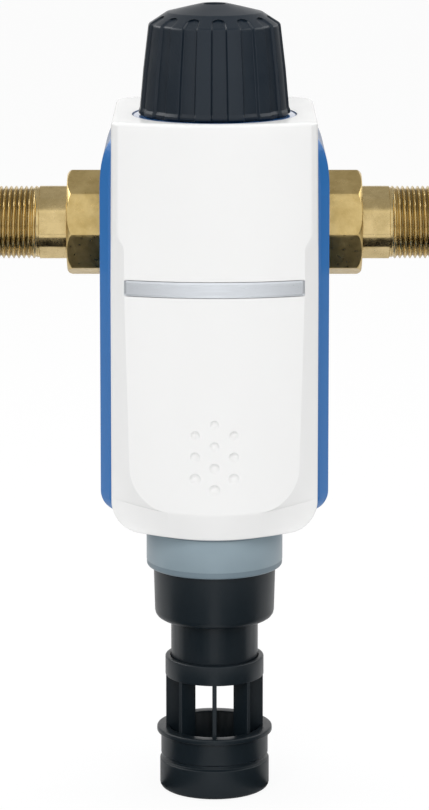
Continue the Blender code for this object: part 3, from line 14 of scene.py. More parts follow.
import bmesh
import bpy
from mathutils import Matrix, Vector


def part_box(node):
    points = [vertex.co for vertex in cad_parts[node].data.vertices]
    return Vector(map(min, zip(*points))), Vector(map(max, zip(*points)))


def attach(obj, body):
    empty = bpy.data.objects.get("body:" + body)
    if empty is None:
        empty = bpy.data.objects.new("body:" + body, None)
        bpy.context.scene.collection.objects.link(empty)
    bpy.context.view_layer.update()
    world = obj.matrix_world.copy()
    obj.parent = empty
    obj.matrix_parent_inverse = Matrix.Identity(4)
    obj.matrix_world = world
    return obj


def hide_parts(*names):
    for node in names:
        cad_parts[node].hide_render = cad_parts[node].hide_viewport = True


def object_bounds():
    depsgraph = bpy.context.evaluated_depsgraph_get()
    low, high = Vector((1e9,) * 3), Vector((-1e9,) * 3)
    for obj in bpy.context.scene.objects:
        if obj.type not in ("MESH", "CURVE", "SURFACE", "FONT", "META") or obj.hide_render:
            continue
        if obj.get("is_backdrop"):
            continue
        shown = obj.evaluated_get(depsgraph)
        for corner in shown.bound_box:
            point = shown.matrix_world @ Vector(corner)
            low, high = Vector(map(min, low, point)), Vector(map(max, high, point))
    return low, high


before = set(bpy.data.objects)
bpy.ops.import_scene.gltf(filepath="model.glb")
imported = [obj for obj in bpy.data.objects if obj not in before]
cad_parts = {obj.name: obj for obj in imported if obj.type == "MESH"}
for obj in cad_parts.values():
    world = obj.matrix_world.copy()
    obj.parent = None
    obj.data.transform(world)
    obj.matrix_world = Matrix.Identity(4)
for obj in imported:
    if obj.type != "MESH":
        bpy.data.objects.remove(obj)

LOG = logging.getLogger("water_filter")

MERGE = 1e-6
GAP = 0.0003
FAR = 0.3
FILTER_Y = -0.026
BOWL_RADIUS = 0.0295
ROUND_SIDES = 144
NOISE_MIDDLE = (0.3, 0.7)

Pair = tuple[float, float]
Triple = tuple[float, float, float]
Colour = Triple
Shape = Callable[[float, float, float], float]
Piece = bpy.types.Object
Material = bpy.types.Material
Node = bpy.types.Node
Socket = bpy.types.NodeSocket
Value = float | Triple | Material | Socket


class Body(str, Enum):
    """CAD bodies that the pieces ride on."""

    HOUSING = "filter_body"
    KNOB = "knob_and_rotor"
    FUNNEL = "funnel"
    NUT_LEFT = "nut_left"
    NUT_RIGHT = "nut_right"
    VALVE = "drain_valve"


class Axis(Enum):
    """Axis that a turned piece is spun round."""

    UPRIGHT = "upright"
    PIPE = "pipe"


class Side(Enum):
    """Side of the filter that a union is on."""

    LEFT = -1
    RIGHT = 1

    @property
    def word(self) -> str:
        """Side as used in node names."""
        return self.name.lower()


# Meshes

def piece_from(name: str, points: Sequence[Triple], faces: Sequence[Sequence[int]]) -> Piece:
    """Make a piece from points and faces, with doubles merged and faces turned outwards.

    Args:
        name: Name of the object and its mesh.
        points: Corner points in the row frame.
        faces: Corner numbers of each face.

    Returns:
        The new object, linked to the scene.
    """
    bm = bmesh.new()
    verts = [bm.verts.new(point) for point in points]
    for corners in faces:
        bm.faces.new([verts[index] for index in corners])
    bmesh.ops.remove_doubles(bm, verts=bm.verts, dist=MERGE)
    bmesh.ops.recalc_face_normals(bm, faces=bm.faces)
    if bm.calc_volume(signed=True) < 0.0:
        bmesh.ops.reverse_faces(bm, faces=bm.faces)
    mesh = bpy.data.meshes.new(name)
    bm.to_mesh(mesh)
    bm.free()
    piece = bpy.data.objects.new(name, mesh)
    bpy.context.scene.collection.objects.link(piece)
    return piece


def skinned(name: str, rings: Sequence[Sequence[Triple]], looped: bool = False,
            banded: bool = False) -> Piece:
    """Skin a stack of rings that have equal numbers of points.

    Args:
        name: Name of the piece.
        rings: Rings of points, in order.
        looped: True joins the last ring to the first; False closes both ends.
        banded: True closes an end with front to back bands, for rings whose halves mirror each other.

    Returns:
        The closed piece.
    """
    count = len(rings[0])
    points = [point for ring in rings for point in ring]
    pairs = list(zip(range(len(rings)), range(1, len(rings))))
    if looped:
        pairs.append((len(rings) - 1, 0))
    faces: list[list[int]] = []
    for lower, upper in pairs:
        for index in range(count):
            after = (index + 1) % count
            faces.append([lower * count + index, lower * count + after,
                          upper * count + after, upper * count + index])
    if not looped:
        caps = bands(count) if banded else [range(count)]
        for start in (0, (len(rings) - 1) * count):
            faces += [[start + index for index in cap] for cap in caps]
    return piece_from(name, points, faces)


def bands(count: int) -> list[list[int]]:
    """Split a mirrored ring into bands that run from its front to its back.

    Args:
        count: Number of points in the ring.

    Returns:
        Corner numbers of each band.
    """
    half = count // 2 + 1
    faces = []
    for index in range(half // 2 - 1):
        right = [index, index + 1, half - 2 - index, half - 1 - index]
        faces += [right, [(count - corner) % count for corner in right]]
    return faces


def on_axis(axis: Axis, radius: float, angle: float, station: float) -> Triple:
    """Point at a radius and angle round one of the two axes.

    Args:
        axis: Axis of the filter or of the pipe.
        radius: Distance from the axis.
        angle: Angle in radians, from +X round the filter, or above the front round the pipe.
        station: Place along the axis.

    Returns:
        The point in the row frame.
    """
    if axis is Axis.UPRIGHT:
        return radius * math.cos(angle), FILTER_Y + radius * math.sin(angle), station
    return station, -radius * math.cos(angle), radius * math.sin(angle)


def rounded_corner(before: Pair, corner: Pair, after: Pair, radius: float, steps: int) -> list[Pair]:
    """Replace a corner by an arc.

    Args:
        before: Point before the corner.
        corner: The corner itself.
        after: Point after the corner.
        radius: Radius of the arc.
        steps: Segments in the arc.

    Returns:
        The arc's points, in order.
    """
    origin = Vector(corner)
    first = (Vector(before) - origin).normalized()
    second = (Vector(after) - origin).normalized()
    angle = first.angle(second, math.pi)
    if radius <= 0.0 or angle > math.pi - 1e-4:
        return [corner] * (steps + 1)
    reach = radius / math.tan(angle / 2.0)
    limit = 0.49 * min((Vector(before) - origin).length, (Vector(after) - origin).length)
    if reach > limit:
        radius *= limit / reach
        reach = limit
    centre = origin + (first + second).normalized() * (radius / math.sin(angle / 2.0))
    start = origin + first * reach - centre
    end = origin + second * reach - centre
    turn = math.copysign(math.pi - angle, start.x * end.y - start.y * end.x)
    points = []
    for step in range(steps + 1):
        part = turn * step / steps
        across = start.x * math.cos(part) - start.y * math.sin(part)
        along = start.x * math.sin(part) + start.y * math.cos(part)
        points.append((centre.x + across, centre.y + along))
    return points


def eased(corners: Sequence[Triple], closed: bool = True, steps: int = 4) -> list[Pair]:
    """Round the corners of a turning profile.

    Args:
        corners: Radius, station and corner rounding of each corner.
        closed: True for a profile that runs back to its start.
        steps: Segments in each rounding.

    Returns:
        Radius and station of each point.
    """
    flat = [(corner[0], corner[1]) for corner in corners]
    points: list[Pair] = []
    for index, (radius, station, rounding) in enumerate(corners):
        end = not closed and index in (0, len(corners) - 1)
        if rounding <= 0.0 or end:
            points.append((radius, station))
            continue
        after = flat[(index + 1) % len(flat)]
        points += rounded_corner(flat[index - 1], flat[index], after, rounding, steps)
    return points


def turned(name: str, corners: Sequence[Triple], axis: Axis = Axis.UPRIGHT, solid: bool = False,
           sides: int = ROUND_SIDES, steps: int = 4, shape: Shape | None = None) -> Piece:
    """Spin a rounded profile round an axis.

    Args:
        name: Name of the piece.
        corners: Radius, station and rounding of each corner.
        axis: Axis to spin round.
        solid: True for a profile that starts and ends on the axis.
        sides: Points in each ring.
        steps: Segments in each rounding.
        shape: Optional change of radius from radius, angle and station.

    Returns:
        The turned piece.
    """
    rings = []
    for radius, station in eased(corners, closed=not solid, steps=steps):
        ring = []
        for index in range(sides):
            angle = math.tau * index / sides
            reach = shape(radius, angle, station) if shape else radius
            ring.append(on_axis(axis, reach, angle, station))
        rings.append(ring)
    return skinned(name, rings, looped=not solid)


def boolean(target: Piece, tool: Piece, operation: str) -> None:
    """Join or cut a piece with a tool, and remove the tool.

    Args:
        target: Piece to change.
        tool: Solid to join or cut with.
        operation: UNION, DIFFERENCE or INTERSECT.
    """
    modifier = target.modifiers.new("shape", "BOOLEAN")
    modifier.operation = operation
    modifier.solver = "EXACT"
    modifier.object = tool
    settle(target)
    bpy.data.objects.remove(tool, do_unlink=True)


def settle(piece: Piece) -> None:
    """Turn a piece's modifiers into plain mesh.

    Args:
        piece: Piece with modifiers.
    """
    bpy.context.view_layer.update()
    graph = bpy.context.evaluated_depsgraph_get()
    mesh = bpy.data.meshes.new_from_object(piece.evaluated_get(graph))
    piece.modifiers.clear()
    piece.data = mesh


def box_tool(low: Triple, high: Triple) -> Piece:
    """Make a box between two corners, for cutting.

    Args:
        low: Its lowest corner.
        high: Its highest corner.

    Returns:
        The box.
    """
    points = [(x, y, z) for x in (low[0], high[0]) for y in (low[1], high[1]) for z in (low[2], high[2])]
    faces = [(0, 1, 3, 2), (4, 6, 7, 5), (0, 4, 5, 1), (2, 3, 7, 6), (0, 2, 6, 4), (1, 5, 7, 3)]
    return piece_from("tool", points, faces)


def rod_tool(radius: float, low: float, high: float, axis: Axis = Axis.UPRIGHT) -> Piece:
    """Round bar from one station to another, for cutting."""
    return turned("tool", [(0.0, low, 0.0), (radius, low, 0.0), (radius, high, 0.0), (0.0, high, 0.0)],
                  axis, solid=True)


def dressed(piece: Piece, material: Material, sharp: float = 35.0) -> Piece:
    """Give a piece its material and smooth shading.

    Args:
        piece: Piece to dress.
        material: Its only material.
        sharp: Angle in degrees past which an edge stays crisp.

    Returns:
        The same piece.
    """
    piece.data.materials.clear()
    piece.data.materials.append(material)
    piece.data.shade_smooth()
    piece.data.set_sharp_from_angle(angle=math.radians(sharp))
    return piece


def seated(piece: Piece, body: Body, nodes: Iterable[str] = ()) -> None:
    """Let a piece ride on its body and stand for its CAD nodes.

    Args:
        piece: Finished piece.
        body: Body it moves with.
        nodes: CAD nodes that it stands for.
    """
    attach(piece, body.value)
    for node in nodes:
        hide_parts(node)
    LOG.info("%s: %d faces on %s", piece.name, len(piece.data.polygons), body.value)


def smooth_step(value: float, low: float, high: float) -> float:
    """Share of the way from low to high, eased at both ends."""
    share = min(1.0, max(0.0, (value - low) / (high - low)))
    return share * share * (3.0 - 2.0 * share)


def soft_ramp(value: float, softness: float) -> float:
    """Zero below nought and value above it, with a rounded bend between."""
    bent = min(softness, max(-softness, value))
    return (bent + softness) ** 2 / (4.0 * softness) + max(0.0, value - softness)


def corner_pull(height: float, foot: float, radius: float) -> float:
    """How far a round lower corner draws a side in at a height."""
    drop = max(0.0, foot + radius - height)
    return radius - math.sqrt(max(0.0, radius * radius - drop * drop))


def spaced(low: float, high: float, steps: int) -> list[float]:
    """Values from low to high in equal steps, with both ends."""
    return [low + (high - low) * step / steps for step in range(steps + 1)]


def crowded(start: float, size: float, degrees: int, steps: int) -> list[float]:
    """Heights that follow a round corner up from its start, crowded where it is level."""
    return [start + size * (1.0 - math.cos(math.radians(degrees * step))) for step in range(steps + 1)]


def node_radius(node: str) -> float:
    """Radius of an upright round node, from its box in the frame."""
    low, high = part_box(node)
    return 0.5 * (high.x - low.x)


def inward(outline: Sequence[Pair], distance: float) -> list[Pair]:
    """Move a closed outline inwards along its own normals.

    Args:
        outline: Points, anticlockwise seen from above.
        distance: How far to move.

    Returns:
        The moved points.
    """
    moved = []
    count = len(outline)
    for index, (across, along) in enumerate(outline):
        before = outline[index - 1]
        after = outline[(index + 1) % count]
        tangent = Vector((after[0] - before[0], after[1] - before[1])).normalized()
        moved.append((across - tangent.y * distance, along + tangent.x * distance))
    return moved


def mirrored(half: Sequence[Pair]) -> list[Pair]:
    """Close an outline from its +X half, whose ends lie on the middle plane."""
    return list(half) + [(-across, along) for across, along in reversed(half[1:-1])]


# Materials

def add_node(tree: bpy.types.NodeTree, kind: str, inputs: dict[str | int, Value], **settings: str) -> Node:
    """Add a node with its settings and inputs.

    Args:
        tree: Node tree to add to.
        kind: Type of the node.
        inputs: Value or source socket of each input.
        **settings: Properties of the node itself.

    Returns:
        The new node.
    """
    node = tree.nodes.new(kind)
    for name, setting in settings.items():
        setattr(node, name, setting)
    for key, value in inputs.items():
        if isinstance(value, Socket):
            tree.links.new(value, node.inputs[key])
        else:
            node.inputs[key].default_value = value
    return node


def larger(tree: bpy.types.NodeTree, first: Socket, second: Socket) -> Socket:
    """Larger of two values, by a node added to a tree."""
    return add_node(tree, "ShaderNodeMath", {0: first, 1: second}, operation="MAXIMUM").outputs[0]


class Shader:
    """Node tree of one material, with short ways to add what finishes share."""

    def __init__(self, name: str) -> None:
        """Start a material with a Principled shader.

        Args:
            name: Name of the material.
        """
        self.material = bpy.data.materials.new(name)
        self.material.use_nodes = True
        self.tree = self.material.node_tree
        self.surface = self.tree.nodes["Principled BSDF"]
        self.place = self.tree.nodes.new("ShaderNodeTexCoord")

    def constant(self, socket: str, value: float) -> None:
        """Set a socket of the Principled shader."""
        self.surface.inputs[socket].default_value = value

    def mapped(self, scale: Triple) -> Socket:
        """Object coordinates stretched along the axes."""
        inputs = {"Vector": self.place.outputs["Object"], "Scale": scale}
        return add_node(self.tree, "ShaderNodeMapping", inputs).outputs["Vector"]

    def noise(self, scale: float, detail: float = 2.0, roughness: float = 0.5,
              stretch: Triple = (1.0, 1.0, 1.0)) -> Socket:
        """Noise on object coordinates, scaled in waves per metre and stretched along the axes."""
        inputs = {"Vector": self.mapped(stretch), "Scale": scale, "Detail": detail, "Roughness": roughness}
        return add_node(self.tree, "ShaderNodeTexNoise", inputs).outputs["Fac"]

    def ramp(self, value: Socket, stops: Sequence[tuple[float, Colour]]) -> Socket:
        """Colour ramp over a value.

        Args:
            value: Socket that drives the ramp.
            stops: Place and colour of each stop.

        Returns:
            The colour's socket.
        """
        node = add_node(self.tree, "ShaderNodeValToRGB", {"Fac": value})
        ramp = node.color_ramp
        while len(ramp.elements) < len(stops):
            ramp.elements.new(0.5)
        for element, (place, colour) in zip(ramp.elements, stops):
            element.position = place
            element.color = (*colour, 1.0)
        return node.outputs["Color"]

    def distance(self, axes: Triple) -> Socket:
        """Distance from the object's origin, counted along the axes that are 1."""
        inputs = {0: self.mapped(axes)}
        return add_node(self.tree, "ShaderNodeVectorMath", inputs, operation="LENGTH").outputs["Value"]

    def mixed(self, share: Socket, first: Colour | Socket, second: Colour | Socket) -> Socket:
        """Mix two colours.

        Args:
            share: Socket of the second colour's share.
            first: Colour or socket that shows at share 0.
            second: Colour or socket that shows at share 1.

        Returns:
            The mixed colour's socket.
        """
        ends = [colour if isinstance(colour, Socket) else (*colour, 1.0) for colour in (first, second)]
        inputs = {"Factor": share, "A": ends[0], "B": ends[1]}
        return add_node(self.tree, "ShaderNodeMix", inputs, data_type="RGBA").outputs["Result"]

    def ranged(self, value: Socket, source: Pair, target: Pair = (0.0, 1.0)) -> Socket:
        """Map one range of a value to another.

        Args:
            value: Socket of the value.
            source: Ends of the range that it comes in.
            target: Ends of the range that it is given.

        Returns:
            The mapped value's socket.
        """
        inputs = {"Value": value, "From Min": source[0], "From Max": source[1],
                  "To Min": target[0], "To Max": target[1]}
        return add_node(self.tree, "ShaderNodeMapRange", inputs).outputs["Result"]

    def uneven(self, noise: Socket, value: float, shares: Pair) -> Socket:
        """Let a noise swing a value between two shares of itself."""
        return self.ranged(noise, NOISE_MIDDLE, (value * shares[0], value * shares[1]))

    def bump(self, height: Socket, distance: float, strength: float = 1.0,
             under: Socket | None = None) -> Socket:
        """Bump from a height, over an earlier bump if there is one.

        Args:
            height: Socket of the height.
            distance: Depth in metres.
            strength: Share of the depth that shows.
            under: Normal of an earlier bump.

        Returns:
            The normal's socket.
        """
        inputs = {"Distance": distance, "Strength": strength, "Height": height}
        if under is not None:
            inputs["Normal"] = under
        return add_node(self.tree, "ShaderNodeBump", inputs).outputs["Normal"]

    def feed(self, socket: str, source: Socket) -> None:
        """Link a source to a socket of the Principled shader."""
        self.tree.links.new(source, self.surface.inputs[socket])


@dataclass(frozen=True)
class MouldedPlastic:
    """Injection moulded plastic with a faint flow pattern and fine grain."""

    name: str
    colour: Colour
    roughness: float
    shade: float = 0.94
    grain: float = 0.00001
    grain_scale: float = 2200.0
    specular: float = 0.5
    coat: float = 0.0
    mottle: float = 0.08
    flow_scale: float = 18.0
    flow_stretch: Triple = (1.0, 1.0, 0.35)
    patch_scale: float = 90.0

    def material(self) -> Material:
        """Build the material.

        Returns:
            The new material.
        """
        shader = Shader(self.name)
        flow = shader.noise(self.flow_scale, 3.0, 0.5, self.flow_stretch)
        darker = tuple(channel * self.shade for channel in self.colour)
        shader.feed("Base Color", shader.ramp(flow, [(0.35, darker), (0.65, self.colour)]))
        patches = shader.noise(self.patch_scale, 4.0)
        shares = (1.0 - self.mottle, 1.0 + self.mottle)
        shader.feed("Roughness", shader.uneven(patches, self.roughness, shares))
        fine = shader.noise(self.grain_scale, 2.0)
        shader.feed("Normal", shader.bump(fine, self.grain))
        shader.constant("Specular IOR Level", self.specular)
        shader.constant("Coat Weight", self.coat)
        return shader.material


@dataclass(frozen=True)
class CastBrass:
    """Brass, cast and blasted, with darker pores."""

    name: str
    colour: Colour
    dull: Colour
    roughness: float
    pit_depth: float
    pit_scale: float = 900.0
    # roots, root_shade and root_start set the painted shade in a thread's roots.
    roots: Triple | None = None
    root_shade: float = 0.45
    root_start: float = 0.0003
    blotches: Pair = (0.85, 1.2)
    patch_scale: float = 160.0
    blotch_scale: float = 420.0
    coarse_scale: float = 240.0

    def root_shaded(self, shader: Shader, colour: Socket) -> Socket:
        """Paint shade into the roots of a thread round the pipe's axis.

        Args:
            shader: Shader that the nodes are added to.
            colour: The metal's own colour.

        Returns:
            The colour with painted shade in the roots past the thread's start.
        """
        start, root, crest = self.roots
        level = shader.ranged(shader.distance((0.0, 1.0, 1.0)), (root, crest))
        plain = shader.ranged(shader.distance((1.0, 0.0, 0.0)), (start, start - self.root_start))
        dark = tuple(self.root_shade * channel for channel in self.dull)
        return shader.mixed(larger(shader.tree, level, plain), dark, colour)

    def material(self) -> Material:
        """Build the material.

        Returns:
            The new material.
        """
        shader = Shader(self.name)
        patches = shader.noise(self.patch_scale, 5.0, 0.62)
        colour = shader.ramp(patches, [(0.32, self.dull), (0.62, self.colour)])
        shader.feed("Base Color", self.root_shaded(shader, colour) if self.roots else colour)
        shader.constant("Metallic", 1.0)
        blotch = shader.noise(self.blotch_scale, 3.0)
        shader.feed("Roughness", shader.uneven(blotch, self.roughness, self.blotches))
        pits = shader.noise(self.pit_scale, 3.0, 0.6)
        coarse = shader.bump(shader.noise(self.coarse_scale, 2.0), self.pit_depth * 1.5, 0.5)
        shader.feed("Normal", shader.bump(pits, self.pit_depth, 0.8, coarse))
        return shader.material


@dataclass(frozen=True)
class BrushedMetal:
    """Metal brushed along one axis, with optional painted shade towards the ends of a long strip."""

    name: str
    colour: Colour
    roughness: float
    grain: Triple = (4.0, 400.0, 400.0)
    depth: float = 0.000004
    shade: float = 0.88
    streaks: Pair = (0.85, 1.15)
    # fade is the reach of the painted shade on a strip's ends; the share below it is how much colour that
    # shade leaves.
    fade: float = 0.0
    end_shade_share: float = 0.72

    def end_shaded(self, shader: Shader, colour: Socket) -> Socket:
        """Paint shade on the ends of a long strip, in place of the darker reflections there.

        Args:
            shader: Shader that the nodes are added to.
            colour: The metal's own colour.

        Returns:
            The colour, with painted shade towards the ends.
        """
        painted_end_shade = tuple(self.end_shade_share * channel for channel in self.colour)
        share = shader.ranged(shader.distance((1.0, 0.0, 0.0)), (0.0, self.fade))
        return shader.mixed(share, colour, painted_end_shade)

    def material(self) -> Material:
        """Build the material.

        Returns:
            The new material.
        """
        shader = Shader(self.name)
        lines = shader.noise(3.0, 3.0, 0.6, self.grain)
        dark = tuple(channel * self.shade for channel in self.colour)
        colour = shader.ramp(lines, [(0.3, dark), (0.7, self.colour)])
        shader.feed("Base Color", self.end_shaded(shader, colour) if self.fade else colour)
        shader.constant("Metallic", 1.0)
        shader.feed("Roughness", shader.uneven(lines, self.roughness, self.streaks))
        shader.feed("Normal", shader.bump(lines, self.depth))
        return shader.material


@dataclass(frozen=True)
class SoftSeal:
    """Rubber or fibre with a dusty, uneven surface."""

    name: str
    colour: Colour
    roughness: float = 0.8
    dust_scale: float = 500.0
    dust_depth: float = 0.00002
    dulling: Pair = (0.9, 1.0)

    def material(self) -> Material:
        """Build the material.

        Returns:
            The new material.
        """
        shader = Shader(self.name)
        dust = shader.noise(self.dust_scale, 4.0, 0.6)
        pale = tuple(min(1.0, channel * 1.6 + 0.004) for channel in self.colour)
        shader.feed("Base Color", shader.ramp(dust, [(0.35, self.colour), (0.75, pale)]))
        shader.feed("Roughness", shader.uneven(dust, self.roughness, self.dulling))
        shader.feed("Normal", shader.bump(dust, self.dust_depth))
        return shader.material


@dataclass(frozen=True)
class WovenScreen:
    """Fine woven steel screen, with painted shade in the gaps between the wires."""

    name: str
    wire: Colour
    # The second colour is painted shade in the gaps between the wires.
    gap_shade: Colour
    threads: float = 2600.0
    depth: float = 0.00004

    def material(self) -> Material:
        """Build the material.

        Returns:
            The new material.
        """
        shader = Shader(self.name)
        waves = []
        for direction in ("X", "Z"):
            inputs = {"Scale": self.threads / math.tau, "Vector": shader.place.outputs["Object"]}
            node = add_node(shader.tree, "ShaderNodeTexWave", inputs, bands_direction=direction)
            waves.append(node.outputs["Fac"])
        crossed = larger(shader.tree, waves[0], waves[1])
        shader.feed("Base Color", shader.ramp(crossed, [(0.4, self.gap_shade), (0.7, self.wire)]))
        shader.constant("Metallic", 0.9)
        shader.constant("Roughness", 0.38)
        shader.feed("Normal", shader.bump(crossed, self.depth))
        return shader.material


Finish = MouldedPlastic | CastBrass | BrushedMetal | SoftSeal | WovenScreen

WHITE_COVER = MouldedPlastic("white_cover", (0.875, 0.875, 0.87), 0.26, shade=0.985, grain=0.000001,
                             grain_scale=900.0, specular=0.35, mottle=0.02)
BLUE_SHELL = MouldedPlastic("blue_shell", (0.012, 0.158, 0.475), 0.34, 0.95, 0.000004, coat=0.6)
BLUE_COLLAR = MouldedPlastic("blue_collar", (0.03, 0.15, 0.42), 0.25, 0.95, 0.000004, 2200.0, 0.5, 1.0)
KNOB_PLASTIC = MouldedPlastic("knob_slate", (0.007, 0.014, 0.023), 0.36, 0.85, 0.000008, 1800.0, 0.38)
DARK_PLASTIC = MouldedPlastic("drain_charcoal", (0.009, 0.015, 0.020), 0.34, 0.85, 0.000008, 1800.0, 0.32)
RING_PLASTIC = MouldedPlastic("ring_grey", (0.175, 0.235, 0.275), 0.38, 0.93, 0.00001)
LABEL_FILM = MouldedPlastic("bare_label", (0.255, 0.33, 0.375), 0.30, 0.97, 0.000004)
BOWL_PLASTIC = MouldedPlastic("smoked_bowl", (0.22, 0.26, 0.28), 0.14, 0.9, 0.000006, 800.0, 0.5, 0.3)
NATURAL_PLASTIC = MouldedPlastic("natural_plastic", (0.60, 0.60, 0.55), 0.45, 0.9)
ROUGH_BRASS = CastBrass("cast_brass", (0.68, 0.51, 0.22), (0.54, 0.39, 0.15), 0.31, 0.00006)
HEAD_BRASS = CastBrass("head_brass", (0.56, 0.43, 0.21), (0.36, 0.27, 0.12), 0.42, 0.00010, 700.0)
# The thread brass paints shade into the pipe thread's roots.
THREAD_BRASS = CastBrass("thread_brass", (0.74, 0.57, 0.28), (0.58, 0.44, 0.20), 0.24, 0.00002, 900.0,
                         (0.0800, 0.0152, 0.0158))
# The trim strip gets painted shade towards its ends, standing in for darker reflections.
TRIM_METAL = BrushedMetal("trim_metal", (0.89, 0.93, 0.98), 0.24, fade=0.036)
STEEL = BrushedMetal("screw_steel", (0.60, 0.60, 0.61), 0.28, (60.0, 60.0, 400.0))
RUBBER = SoftSeal("black_rubber", (0.012, 0.012, 0.013))
FIBRE = SoftSeal("red_fibre", (0.28, 0.07, 0.045))
SCREEN = WovenScreen("screen_weave", (0.6, 0.6, 0.6), (0.06, 0.06, 0.06))


# Geometry Nodes

@dataclass
class RingOfCopies:
    """Geometry Nodes tree that repeats one shape at equal turns round the filter's axis."""

    name: str
    count: int
    start: float = 0.0
    inputs: dict[str, str] = field(default_factory=dict)

    def tree(self, material: Material) -> bpy.types.NodeTree:
        """Build the node tree.

        Args:
            material: Material that the copies get.

        Returns:
            The node group, with its input identifiers kept in inputs.
        """
        group = bpy.data.node_groups.new(self.name, "GeometryNodeTree")
        face = group.interface
        face.new_socket("Geometry", in_out="INPUT", socket_type="NodeSocketGeometry")
        count = face.new_socket("Count", in_out="INPUT", socket_type="NodeSocketInt")
        start = face.new_socket("Start", in_out="INPUT", socket_type="NodeSocketFloat")
        face.new_socket("Geometry", in_out="OUTPUT", socket_type="NodeSocketGeometry")
        self.inputs = {"count": count.identifier, "start": start.identifier}
        given = group.nodes.new("NodeGroupInput").outputs
        spots = add_node(group, "GeometryNodeMeshLine", {"Count": given["Count"], "Offset": (0.0, 0.0, 0.0)},
                         mode="OFFSET")
        number = group.nodes.new("GeometryNodeInputIndex")
        step = add_node(group, "ShaderNodeMath", {0: math.tau, 1: given["Count"]}, operation="DIVIDE")
        turn = add_node(group, "ShaderNodeMath", {
            0: number.outputs["Index"], 1: step.outputs[0], 2: given["Start"]}, operation="MULTIPLY_ADD")
        upright = add_node(group, "ShaderNodeCombineXYZ", {"Z": turn.outputs[0]})
        copies = add_node(group, "GeometryNodeInstanceOnPoints", {
            "Points": spots.outputs["Mesh"], "Instance": given["Geometry"],
            "Rotation": upright.outputs["Vector"]})
        shift = add_node(group, "GeometryNodeTransform", {
            "Geometry": copies.outputs["Instances"], "Translation": (0.0, FILTER_Y, 0.0)})
        real = add_node(group, "GeometryNodeRealizeInstances", {"Geometry": shift.outputs["Geometry"]})
        paint = add_node(group, "GeometryNodeSetMaterial", {
            "Geometry": real.outputs["Geometry"], "Material": material})
        add_node(group, "NodeGroupOutput", {"Geometry": paint.outputs["Geometry"]})
        return group

    def around(self, shape: Piece, material: Material) -> Piece:
        """Repeat a shape that is made about the world's upright axis.

        Args:
            shape: One copy, with the filter's axis taken as its own.
            material: Material that the copies get.

        Returns:
            The ring of copies as one plain mesh.
        """
        modifier = shape.modifiers.new(self.name, "NODES")
        modifier.node_group = self.tree(material)
        modifier[self.inputs["count"]] = self.count
        modifier[self.inputs["start"]] = self.start
        settle(shape)
        return dressed(shape, material)


# Front cover

